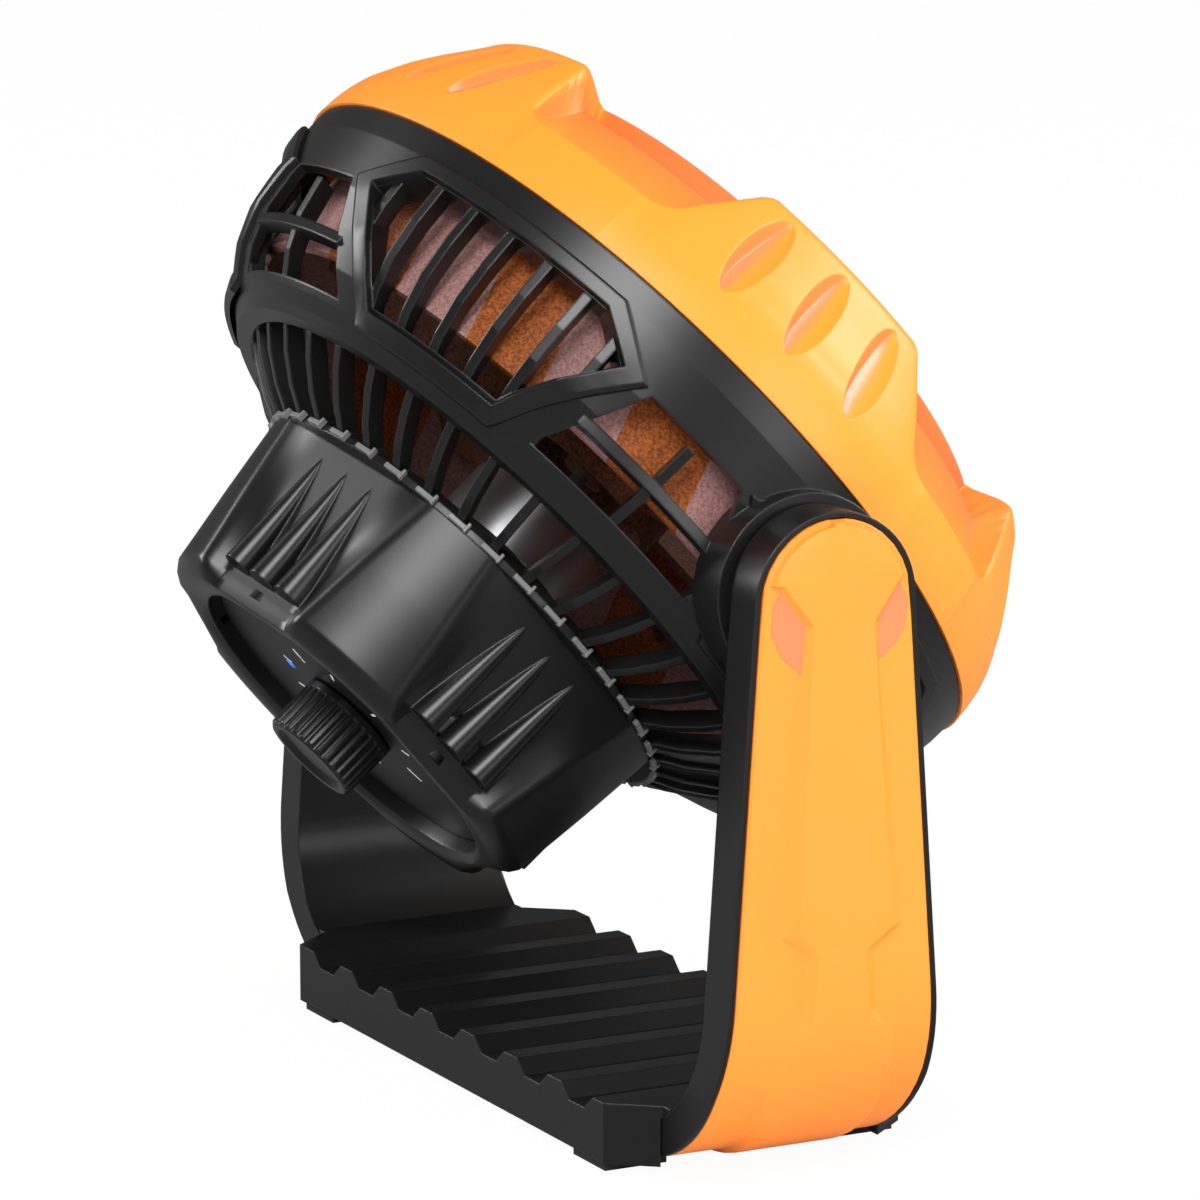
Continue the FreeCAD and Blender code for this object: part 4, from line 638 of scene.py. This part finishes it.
def ring_vertex(row, column, sizes):
    """Place of the vertex in a row and a column of one sector, with its tones of painted light and shade."""
    lobe, place = row[0], row[4]
    half, along_it = scoop_half(place, sizes)
    wide = math.degrees(half / lobe[0])
    index, kind, share, number = stretch_at(column, RING_COLUMNS, "scoop")
    if kind == "scoop":
        return scoop_vertex(lobe, (number - 1) * SCOOP_TURN, wide, share, along_it, sizes)
    if kind == "plain":
        low, high = plain_limits(number, SCOOP_TURN, wide, ring_point(row, "bevel", 0.0)[2])
        return lobe[0], lobe[1], low + (high - low) * share, 0.0, 0.0
    mirrored = index < len(RING_COLUMNS) // 2
    r, k, angle, painted_light_coral, deep = ring_point(row, kind, 1.0 - share if mirrored else share)
    return r, k, -angle if mirrored else angle, painted_light_coral, deep


def scoop_vertex(lobe, middle, wide, share, along_it, sizes):
    """A vertex inside a scoop: a gentle floor on one side of its crease, a steep face on the other."""
    crease = 0.72 - 0.12 * along_it
    across = share / 0.7 * crease if share < 0.7 else crease + (share - 0.7) / 0.3 * (1.0 - crease)
    angle = middle - wide + 2.0 * wide * across
    inside = max(0.0, 1.0 - along_it ** 2)
    deep = sizes.scoop_depth / MM * inside ** 0.55
    if across < crease:
        sunk = deep * (1.0 - (1.0 - across / crease) ** 2.2)
    else:
        sunk = deep * (1.0 - (across - crease) / (1.0 - crease))
    # Pinkish painted light on the floor beside the crease; painted shade, with a little of that light, on the
    # steep face.
    open_here = min(1.0, inside * 6.0)
    painted_light_coral = open_here * step(across, 0.25, 0.6) if across < crease + 0.01 else open_here * 0.25
    dark = open_here * (0.75 if across > crease + 0.01 and across < 0.99 else 0.0)
    return lobe[0] - sunk * 0.87, lobe[1] - sunk * 0.49, angle, painted_light_coral, dark


class FAN_OT_grip_ring(bpy.types.Operator):
    """Grip ring: a spun ring whose lobes, recesses, slots and finger scoops are shaped row by row"""
    bl_idname = "fan.grip_ring"
    bl_label = "Grip ring"

    def execute(self, context):
        sizes = context.scene.fan_sizes
        rows = ring_rows(sizes)
        columns = sum(count for kind, count in RING_COLUMNS)
        corners = [tuple(row[0]) for row in rows] + list(INNER_LINE)
        ring = begin("grip_ring", "plane", size=1.0 * MM)
        draw_line([(0.0, (60.0 + i * ROW_STEP) * MM, i * ROW_STEP * MM) for i in range(len(corners))])
        bpy.ops.mesh.select_all(action="SELECT")
        bpy.ops.mesh.spin(steps=columns * SECTORS, angle=2.0 * math.pi, center=(0.0, 0.0, 0.0),
                          axis=(0.0, 0.0, 1.0), use_auto_merge=True)
        bpy.ops.mesh.select_all(action="SELECT")
        bpy.ops.mesh.remove_doubles(threshold=0.005 * MM)
        bpy.ops.object.mode_set(mode="OBJECT")
        tones = []
        for vertex in ring.data.vertices:
            x, y, z = (part / MM for part in vertex.co)
            level = round(z / ROW_STEP)
            turn = round(math.degrees(math.atan2(x, y)) % 360.0 / 360.0 * columns * SECTORS)
            sector, column = divmod(turn, columns)
            if level < len(rows):
                r, k, angle, painted_light_coral, deep = ring_vertex(rows[level], column, sizes)
            else:
                (r, k), angle, painted_light_coral, deep = corners[level], column * SECTOR / columns - HALF_SECTOR, 0.0, 0.0
            vertex.co = Vector(on_axis(r, angle + SECTOR * sector, k)) * MM
            tones.append((painted_light_coral, deep))
        # Tones of painted light and shade for the ring's finish: pinkish light on the scoop floors, shade in
        # the recesses and on steep faces.
        for name, values in zip(("painted_light_coral", "deep"), zip(*tones)):
            ring.data.attributes.new(name, "FLOAT", "POINT").data.foreach_set("value", values)
        hold(ring)
        bpy.ops.object.mode_set(mode="EDIT")
        bridge_ends()
        settle(ring, "head", HEAD_PLACE, ("ring", "shroud"), smooth=32.0)
        upright = HEAD_PLACE.inverted()
        for face in ring.data.polygons:
            middle = upright @ face.center
            if math.hypot(middle.x, middle.y) < SHROUD_RADIUS * MM and middle.z < SHROUD_FRONT * MM:
                face.material_index = 1
        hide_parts("front_ring")
        return {"FINISHED"}


# Cage trim and pod.
def loft(name, columns, rows, where):
    """A grid of columns and rows, each vertex moved to where the function puts it."""
    piece = begin(name, "grid", x_subdivisions=columns, y_subdivisions=rows, size=2.0 * MM)
    bpy.ops.object.mode_set(mode="OBJECT")
    for vertex in piece.data.vertices:
        column = round((vertex.co.x / MM + 1.0) / 2.0 * columns)
        row = round((vertex.co.y / MM + 1.0) / 2.0 * rows)
        vertex.co = Vector(where(column, row)) * MM
    piece.data.update()
    return piece


# Corners of a framed window, in degrees from its middle and millimetres ahead of the pivot.
FRAME_FOOT = ((-17.8, 15.0), (-26.6, 5.3), (-13.6, -19.6), (13.6, -19.6), (26.6, 5.3), (17.8, 15.0))
FRAME_TOP = ((-17.4, 14.5), (-25.9, 5.2), (-13.2, -19.0), (13.2, -19.0), (25.9, 5.2), (17.4, 14.5))
FRAME_EDGE = ((-16.3, 11.7), (-22.9, 5.0), (-12.5, -16.2), (12.5, -16.2), (22.9, 5.0), (16.3, 11.7))
FRAME_INSIDE = ((-15.6, 10.4), (-21.2, 4.4), (-12.2, -14.0), (12.2, -14.0), (21.2, 4.4), (15.6, 10.4))


class FAN_OT_window_frames(bpy.types.Operator):
    """Raised frames with sloped inner faces round the six-sided windows of the cage"""
    bl_idname = "fan.window_frames"
    bl_label = "Window frames"

    def execute(self, context):
        height = context.scene.fan_sizes.frame_height / MM
        loops = ((FRAME_FOOT, -0.6), (FRAME_FOOT, height - 0.5), (FRAME_TOP, height), (FRAME_EDGE, height),
                 (FRAME_INSIDE, -4.4), (FRAME_INSIDE, -5.2))
        sides, steps = len(FRAME_FOOT), 10

        def placed(column, row):
            corners, lift = loops[row]
            side, part = divmod(column % (steps * sides), steps)
            (a0, k0), (a1, k1) = corners[side], corners[(side + 1) % sides]
            angle, level = a0 + (a1 - a0) * part / steps, k0 + (k1 - k0) * part / steps
            return on_axis(bowl_radius(level) + lift, angle + HALF_SECTOR, level)
        frames = loft("window_frames", steps * sides, len(loops) - 1, placed)
        frames = copies_round(frames, "window_frames", each_sector(HALF_SECTOR))
        settle(frames, "head", HEAD_PLACE, ("black",), smooth=25.0)
        return {"FINISHED"}


# Ribs of the cage's dome, and radius of the tabs between them, in millimetres.
DOME_RIBS, TAB_RADIUS = 38, 54.2


class FAN_OT_hub_tabs(bpy.types.Operator):
    """Thin raised tabs on the cage's hub ring, one between each pair of dome ribs"""
    bl_idname = "fan.hub_tabs"
    bl_label = "Hub tabs"

    def execute(self, context):
        tab = bevelled_box("hub_tabs", (4.6, 1.2, 1.1), 0.15, (0.0, TAB_RADIUS, -32.3))
        end = bevelled_box("hub_tab_end", (0.7, 1.4, 2.2), 0.12, (-2.3, TAB_RADIUS, -32.0))
        tab = joined([tab, end], "hub_tabs")
        start, apart = 180.0 / DOME_RIBS, 360.0 / DOME_RIBS
        turn_round(tab, start)
        tabs = copies_round(tab, "hub_tabs", [start + apart * i for i in range(DOME_RIBS)])
        settle(tabs, "head", HEAD_PLACE, ("tab_grey",))
        return {"FINISHED"}


# The pod at some places along the axis: place, crest radius and half width of a lobe, reach and half width
# of the foot of its side walls, distance of the flat faces from the axis.
POD_TABLE = ((-70.0, 45.0, 13.2, 42.8, 14.6, 41.2), (-68.6, 47.2, 13.8, 43.2, 15.0, 41.9),
             (-67.0, 48.4, 13.9, 43.6, 15.3, 42.3), (-62.0, 49.2, 13.3, 44.2, 15.5, 43.0),
             (-50.0, 51.2, 11.9, 46.8, 15.9, 45.3), (-33.0, 53.8, 9.6, 51.0, 16.4, 48.7))
# Degrees that the pod is turned by, its end along the axis and the radius of its mouth.
POD_TURN, POD_END, POD_MOUTH = 18.0, -70.0, 38.4
# Flutes: their ends along the axis, middles apart, half width where open and shut, crest from tip to base.
FLUTE_TIP, FLUTE_BASE, FLUTE_APART = -36.9, -64.5, 8.5
FLUTE_OPEN, FLUTE_SHUT, FLUTE_CREST = 3.8, 0.06, (48.1, 47.4)
# Columns from the middle of a lobe to the middle of the next.
POD_COLUMNS = (("crest", 8), ("shoulder", 2), ("wall", 4), ("face", 2), ("flute", 8), ("face", 2),
               ("flute", 8), ("face", 2), ("flute", 8), ("face", 2), ("wall", 4), ("shoulder", 2),
               ("crest", 8))


def pod_wall(column, k):
    """Radius and degrees from a lobe's middle of a column of the pod at a place along the axis."""
    crest, narrow, foot, wide, flat = between(POD_TABLE, k)
    edge, base = math.degrees(math.asin(narrow / crest)), math.degrees(math.asin(wide / foot))
    index, kind, share, number = stretch_at(column, POD_COLUMNS, "flute")
    if kind in ("face", "flute"):
        return pod_face(kind, share, number, k, flat, math.tan(math.radians(HALF_SECTOR - base)) * flat)
    mirrored = index > len(POD_COLUMNS) // 2
    share = 1.0 - share if mirrored else share
    trim, drop, past = 1.6, 0.9, 0.35
    brow = edge - math.degrees(trim / crest)
    if kind == "crest":
        r, angle = crest, brow * share
    elif kind == "shoulder":
        r, angle = crest - drop * share ** 1.6, brow + (edge + past - brow) * share
    else:
        foot = flat / math.cos(math.radians(HALF_SECTOR - base))
        start, end = on_axis(crest - drop, edge + past, k), on_axis(foot, base, k)
        x, y = (a + (b - a) * share for a, b in zip(start[:2], end[:2]))
        r, angle = math.hypot(x, y), math.degrees(math.atan2(x, y))
    return r, SECTOR - angle if mirrored else angle


def pod_face(kind, share, number, k, flat, half):
    """The same on a flat face: its plain stretches, and its half-round flutes that widen from tip to base."""
    open_to = max(0.0, min(1.0, (FLUTE_TIP - k) / (FLUTE_TIP - FLUTE_BASE)))
    wide = max(FLUTE_SHUT, FLUTE_OPEN * open_to ** 0.6) if k > FLUTE_BASE - 0.05 else FLUTE_SHUT
    y = flat
    if kind == "face":
        low, high = plain_limits(number, FLUTE_APART, wide, half)
        x = low + (high - low) * share
    else:
        across = -math.cos(math.pi * share)
        x = (number - 1) * FLUTE_APART + wide * across
        if wide > FLUTE_SHUT:
            top = FLUTE_CREST[0] + (FLUTE_CREST[1] - FLUTE_CREST[0]) * open_to
            y += max(0.0, top - flat) * math.sqrt(max(0.0, 1.0 - across ** 2))
    return math.hypot(x, y), HALF_SECTOR + math.degrees(math.atan2(x, y))


class FAN_OT_pod_shell(bpy.types.Operator):
    """Battery pod: tapering lobes with sloped side walls, and pointed flutes on its five flat faces"""
    bl_idname = "fan.pod_shell"
    bl_label = "Pod shell"

    def execute(self, context):
        columns = sum(count for kind, count in POD_COLUMNS)
        levels = [-33.0, -34.0, -35.5] + [FLUTE_TIP - i * 0.92 for i in range(30)]
        levels += [FLUTE_BASE, FLUTE_BASE - 0.1, -65.5, -66.3, -67.0, -67.8, -68.6, -69.3, POD_END]
        ends = ((0.45, -70.2), (0.9, -69.6), (1.0, -69.2))
        inner = ((38.0, -69.0), (37.6, -66.2), (37.5, -63.5), (43.9, -63.5), (43.9, -35.4), (11.0, -35.4),
                 (11.0, -33.0))

        def placed(column, row):
            sector, within = divmod(column, columns)
            k = levels[min(row, len(levels) - 1)]
            r, angle = pod_wall(within, k)
            if row >= len(levels) + len(ends):
                r, k = inner[row - len(levels) - len(ends)]
            elif row >= len(levels):
                share, k = ends[row - len(levels)]
                r += (POD_MOUTH - r) * share
            return on_axis(r, angle + SECTOR * sector + POD_TURN, k)
        shell = loft("pod_shell", columns * SECTORS, len(levels) + len(ends) + len(inner) - 1, placed)
        hold(shell)
        bpy.ops.object.mode_set(mode="EDIT")
        bpy.ops.mesh.select_all(action="SELECT")
        bpy.ops.mesh.remove_doubles(threshold=0.003 * MM)
        bridge_ends()
        bpy.ops.mesh.select_all(action="SELECT")
        bpy.ops.mesh.normals_make_consistent(inside=False)
        bpy.ops.object.mode_set(mode="OBJECT")
        wells = begin("wells", "cylinder", vertices=28, radius=1.9 * MM, depth=7.0 * MM,
                      location=(0.0, 40.3 * MM, -69.0 * MM))
        bpy.ops.object.mode_set(mode="OBJECT")
        bpy.ops.object.transform_apply(location=True, rotation=True, scale=True)
        turn_round(wells, -POD_TURN)
        wells = copies_round(wells, "wells", each_sector(-POD_TURN))
        cut_with(shell, wells)
        settle(shell, "head", HEAD_PLACE, ("black",), smooth=32.0)
        bpy.data.objects.remove(wells, do_unlink=True)
        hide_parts("pod_housing")
        return {"FINISHED"}


class FAN_OT_dial_plate(bpy.types.Operator):
    """Round panel inside the pod's rim, with the openings for the lamp and the charging port"""
    bl_idname = "fan.dial_plate"
    bl_label = "Control panel"

    def execute(self, context):
        plate = begin("dial_plate", "cylinder", vertices=96, radius=37.3 * MM, depth=2.4 * MM,
                      location=(0.0, 0.0, -64.8 * MM))
        pick(lambda face: len(face.verts) > 8 and face.normal.z < 0.0, "FACE")
        bpy.ops.mesh.bevel(offset=0.4 * MM, segments=2, affect="EDGES")
        bpy.ops.object.mode_set(mode="OBJECT")
        bpy.ops.object.transform_apply(location=True, rotation=True, scale=True)
        tools = []
        for kind, x, y, wide, tall in (("cube", 18.0, -27.0, 9.6, 3.8), ("cylinder", 12.0, 12.5, 2.6, 2.6)):
            tool = begin("opening", kind, location=(x * MM, y * MM, -65.0 * MM))
            bpy.ops.transform.resize(value=(wide / 2.0 * MM, tall / 2.0 * MM, 4.0 * MM))
            bpy.ops.object.mode_set(mode="OBJECT")
            tools.append(tool)
        openings = joined(tools, "openings")
        cut_with(plate, openings)
        settle(plate, "head", HEAD_PLACE, ("panel",))
        bpy.data.objects.remove(openings, do_unlink=True)
        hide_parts("rear_panel")
        return {"FINISHED"}


class FAN_OT_dial_marks(bpy.types.Operator):
    """Plain tick marks round the speed knob"""
    bl_idname = "fan.dial_marks"
    bl_label = "Dial marks"

    def execute(self, context):
        marks = []
        for number in range(9):
            long = 4.2 if number % 4 == 0 else 2.4
            mark = bevelled_box("mark_%d" % number, (0.7, long, 0.12), 0.05, (0.0, 18.0, -66.03))
            turn_round(mark, -150.0 + 37.5 * number)
            marks.append(mark)
        settle(joined(marks, "dial_marks"), "head", HEAD_PLACE, ("mark",))
        return {"FINISHED"}


# Arm covers, seen on the near arm: height above the floor, then the places along Y (forward is negative) of
# the left foot, the plateau's left and right edge and the right foot.
RELIEF_TABLE = (
    (1.9, 10.0, 8.4, -14.5, -16.5), (9.0, 11.2, 9.2, -14.6, -16.6), (14.5, 11.8, 9.6, -14.8, -17.0),
    (23.5, 13.1, 9.7, -14.2, -16.8), (27.1, 13.4, 9.7, -13.6, -16.2), (31.3, 13.6, 9.2, -13.0, -15.0),
    (35.2, 7.7, 5.6, -7.4, -9.3), (49.2, 6.8, 4.4, -6.5, -8.6),
    (53.5, 12.7, 9.0, -12.3, -15.0), (106.0, 8.1, 6.3, -8.4, -9.4), (115.4, 7.2, 5.8, -7.8, -9.2),
    (123.9, 13.6, 12.5, -13.8, -14.7), (124.1, 15.0, 14.2, -14.2, -15.0), (127.0, 14.0, 13.1, -13.1, -14.0),
    (130.0, 11.8, 10.9, -10.9, -11.8), (132.6, 8.6, 7.8, -7.8, -8.6), (134.2, 5.0, 4.4, -4.4, -5.0),
    (134.9, 1.6, 1.2, -1.2, -1.6))
# The crescents beside the plateau's top, as corners (along Y, height): thin patches whose pinkish tint paints
# the shading of sunk wedges.
CRESCENTS = (((12.3, 123.6), (9.3, 119.6), (6.4, 115.4), (7.0, 106.4), (8.1, 106.0), (12.5, 109.6),
              (14.8, 114.6), (14.4, 120.0)),
             ((-13.6, 123.2), (-10.8, 119.6), (-8.4, 115.4), (-8.9, 107.4), (-9.2, 107.2), (-13.2, 110.4),
              (-15.1, 113.3), (-15.9, 118.8)))


# Radius of an arm's round top; middle (across, height) and radius of the bottom corner's outside.
ARM_TOP = 16.6
CORNER_X, CORNER_Z, CORNER_RADIUS = 68.0, 40.5, 38.6
COVER_FACE = CORNER_X + CORNER_RADIUS


def arm_half(z):
    """Half depth of an arm cover at a height above the floor."""
    if z <= PIVOT_HEIGHT:
        return between(((20.0, 23.5), (PIVOT_HEIGHT, ARM_TOP)), z)[0]
    return math.sqrt(max(0.04, ARM_TOP ** 2 - (z - PIVOT_HEIGHT) ** 2))


def cover_path():
    """The cover's middle line from the base up the arm: across, height, and the way out of its surface."""
    path = [(66.0, 1.9, 0.0, -1.0)]
    for turn in (math.radians(-90.0 + 6.0 * i) for i in range(15)):
        out, up = math.cos(turn), math.sin(turn)
        path.append((CORNER_X + CORNER_RADIUS * out, CORNER_Z + CORNER_RADIUS * up, out, up))
    heights = [row[0] for row in RELIEF_TABLE if row[0] > 41.0] + [41.0, 135.6, 136.0]
    heights += [60.0 + i * 7.0 for i in range(7)]
    return path + [(COVER_FACE, z, 1.0, 0.0) for z in sorted(heights)]


class FAN_OT_arm_covers(bpy.types.Operator):
    """Arm covers with a raised middle, round the bottom corner and up to a round top, and their crescents of
    painted shading
    """
    bl_idname = "fan.arm_covers"
    bl_label = "Arm covers"

    def execute(self, context):
        height = context.scene.fan_sizes.relief_height / MM
        thick, rim = 3.2, 0.4
        path = cover_path()
        for side, word in ((-1.0, "near"), (1.0, "far")):
            def placed(column, row):
                x, z, out, up = path[row]
                left_foot, left, right, right_foot = between(RELIEF_TABLE, z)
                edge = arm_half(z)
                middle = (left + right) / 2.0
                marks = (middle, edge, edge, edge - rim, left_foot, left, left - 0.5, middle, right + 0.5,
                         right, right_foot, rim - edge, -edge, -edge, middle)
                lifts = (-thick, -thick, -rim, 0.0, 0.0, height - 0.08, height, height, height, height - 0.08,
                         0.0, 0.0, -rim, -thick, -thick)
                y = max(-edge, min(edge, marks[column]))
                lift = lifts[column] if 0 < row < len(path) - 1 else min(-rim, lifts[column])
                return side * (x + out * lift), y, z + up * lift
            plate = loft("arm_cover_" + word, 14, len(path) - 1, placed)
            settle(plate, "stand", None, ("cover",), smooth=20.0)
            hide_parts("arm_cover_" + word)
            # Crescents: thin patches whose pinkish tint paints the shading of the sunk wedges.
            for number, corners in enumerate(CRESCENTS):
                patch = begin("crescent_%s_%d" % (word, number), "circle", vertices=len(corners),
                              radius=10.0 * MM, fill_type="NGON")
                mesh = bmesh.from_edit_mesh(patch.data)
                order = [loop.vert for loop in next(iter(mesh.faces)).loops]
                for vertex, (y, z) in zip(order, corners):
                    vertex.co = Vector((side * (COVER_FACE - 0.05), y, z)) * MM
                bmesh.update_edit_mesh(patch.data)
                bpy.ops.mesh.select_all(action="SELECT")
                bpy.ops.mesh.extrude_region_move(
                    TRANSFORM_OT_translate={"value": (side * 0.12 * MM, 0.0, 0.0)})
                bpy.ops.object.mode_set(mode="OBJECT")
                settle(patch, "stand", None, ("crescent",), smooth=20.0)
        return {"FINISHED"}


# Solids that stay.
class FAN_OT_solid_finishes(bpy.types.Operator):
    """Give every solid that still shows its finish"""
    bl_idname = "fan.solid_finishes"
    bl_label = "Finishes of the solids"

    def execute(self, context):
        for part in frame["record"]["subparts"]:
            node = frame["nodes"][part["node"]]
            node.data.materials.clear()
            # The panel screws get near-black steel: painted shade of the wells they sit in.
            dark_screws = part["node"] == "panel_screws"
            node.data.materials.append(finish_for("painted_shade_steel" if dark_screws else part["material_slot"]))
        return {"FINISHED"}


# Stage.
WHITE = (1.0, 1.0, 1.0)
# Softboxes: name, place, target, width, height, watts.
SOFTBOXES = (
    ("key", (-1.35, 0.95, 1.42), (0.0, 0.0, 0.1), 0.9, 0.9, 33.0),
    ("fill", (-2.0, -0.6, 0.6), (0.0, 0.0, 0.12), 1.0, 1.0, 12.0),
    ("rim_left", (1.4, 1.2, 0.9), (0.0, 0.0, 0.12), 0.6, 1.0, 20.0),
    ("rim_right", (-0.6, -1.8, 1.2), (0.0, 0.0, 0.15), 0.8, 0.8, 26.0),
)
# Camera: its place in millimetres and the rotation vector from the world's axes to right, down and ahead.
CAMERA_PLACE = (-1105.6, 570.0, 342.5)
CAMERA_TURN = (1.0462180914675896, -1.7237626949300362, 1.4208485812452698)


def make_floor(sizes, colours):
    """Pale floor that takes soft shadows, yet shows white to the camera and dark in the fan's gloss."""
    floor = begin("floor", "plane", size=sizes.floor_half * 2.0)
    bpy.ops.mesh.subdivide(number_cuts=4)
    bpy.ops.object.mode_set(mode="OBJECT")
    finish = Finish("floor_pale")
    colour = tuple(colours.floor)
    tone = finish.blend(finish.noise(3.0, 2.0), darker(colour, 0.99), colour)
    paint = finish.node("ShaderNodeBsdfDiffuse", None, {"Color": tone})
    seen = finish.node("ShaderNodeLightPath")
    glow = finish.node("ShaderNodeEmission", None, {"Color": WHITE, "Strength": 1.0})
    shade = finish.node("ShaderNodeEmission", None, {"Color": WHITE, "Strength": 0.16})
    direct, faced, through = (finish.wire(seen.outputs["Is %s Ray" % kind])
                              for kind in ("Camera", "Glossy", "Transmission"))
    faint = finish.node("ShaderNodeMixShader", None, {0: faced * 0.9, 1: paint.outputs[0],
                                                      2: shade.outputs[0]})
    mixed = finish.node("ShaderNodeMixShader", None, {
        0: (direct * 0.96 + through * 0.96).clamped(), 1: faint.outputs[0], 2: glow.outputs[0]})
    finish.tree.links.new(mixed.outputs[0], finish.out.inputs["Surface"])
    floor.data.materials.append(finish.material)


def make_lamps(scene):
    """Softboxes round the fan."""
    for name, place, target, width, height, watts in SOFTBOXES:
        lamp = bpy.data.lights.new("softbox_" + name, "AREA")
        lamp.shape, lamp.size, lamp.size_y, lamp.energy = "RECTANGLE", width, height, watts
        box = bpy.data.objects.new("softbox_" + name, lamp)
        scene.collection.objects.link(box)
        box.location = place
        box.rotation_euler = (Vector(target) - Vector(place)).to_track_quat("-Z", "Y").to_euler()


def make_world(scene):
    """White surroundings for the camera, soft light for the rest and darker ones in the fan's gloss."""
    world = bpy.data.worlds.new("studio")
    scene.world = world
    world.use_nodes = True
    nodes, links = world.node_tree.nodes, world.node_tree.links
    nodes.clear()

    def background(strength):
        made = nodes.new("ShaderNodeBackground")
        made.inputs["Color"].default_value = (*WHITE, 1.0)
        made.inputs["Strength"].default_value = strength
        return made.outputs[0]

    def mixed(factor, first, second):
        made = nodes.new("ShaderNodeMixShader")
        for number, source in enumerate((factor, first, second)):
            links.new(source, made.inputs[number])
        return made.outputs[0]
    path = nodes.new("ShaderNodeLightPath")
    either = nodes.new("ShaderNodeMath")
    either.operation = "MAXIMUM"
    links.new(path.outputs["Is Camera Ray"], either.inputs[0])
    links.new(path.outputs["Is Transmission Ray"], either.inputs[1])
    dim = mixed(path.outputs["Is Glossy Ray"], background(0.6), background(0.1))
    out = nodes.new("ShaderNodeOutputWorld")
    links.new(mixed(either.outputs[0], dim, background(1.0)), out.inputs["Surface"])


def make_camera(scene):
    """The photograph's camera."""
    lens = bpy.data.cameras.new("photo_camera")
    lens.sensor_width, lens.lens = 36.0, 180.0
    lens.clip_start, lens.clip_end = 0.05, 50.0
    camera = bpy.data.objects.new("photo_camera", lens)
    scene.collection.objects.link(camera)
    whole = Vector(CAMERA_TURN)
    right, down, ahead = Matrix.Rotation(whole.length, 3, whole.normalized())
    turn = Matrix((right, -down, -ahead)).transposed()
    camera.matrix_world = Matrix.Translation(Vector(CAMERA_PLACE) * MM) @ turn.to_4x4()
    scene.camera = camera


class FAN_OT_stage(bpy.types.Operator):
    """Pale floor, soft lamps, white surroundings and the camera"""
    bl_idname = "fan.stage"
    bl_label = "Stage"

    def execute(self, context):
        scene = context.scene
        make_floor(scene.fan_sizes, scene.fan_colours)
        make_lamps(scene)
        make_world(scene)
        make_camera(scene)
        scene.view_settings.view_transform = "Standard"
        return {"FINISHED"}


OPERATORS = (FAN_OT_solid_finishes, FAN_OT_grip_ring, FAN_OT_window_frames, FAN_OT_hub_tabs, FAN_OT_pod_shell,
             FAN_OT_dial_plate, FAN_OT_dial_marks, FAN_OT_arm_covers, FAN_OT_stage)


class FAN_PT_panel(bpy.types.Panel):
    """Sizes, colours and pieces of the camping fan"""
    bl_idname = "FAN_PT_panel"
    bl_label = "Camping fan"
    bl_space_type = "VIEW_3D"
    bl_region_type = "UI"
    bl_category = "Camping fan"

    def draw(self, context):
        layout = self.layout
        for group in (context.scene.fan_sizes, context.scene.fan_colours):
            for name in type(group).__annotations__:
                layout.prop(group, name)
        for operator in OPERATORS:
            layout.operator(operator.bl_idname)


CLASSES = (FanSizes, FanColours, *OPERATORS, FAN_PT_panel)


def register():
    for one in CLASSES:
        bpy.utils.register_class(one)
    bpy.types.Scene.fan_sizes = PointerProperty(type=FanSizes)
    bpy.types.Scene.fan_colours = PointerProperty(type=FanColours)


def unregister():
    del bpy.types.Scene.fan_sizes
    del bpy.types.Scene.fan_colours
    for one in reversed(CLASSES):
        bpy.utils.unregister_class(one)


def main():
    register()
    for operator in OPERATORS:
        area, name = operator.bl_idname.split(".")
        getattr(getattr(bpy.ops, area), name)()


if __name__ == "__main__":
    main()
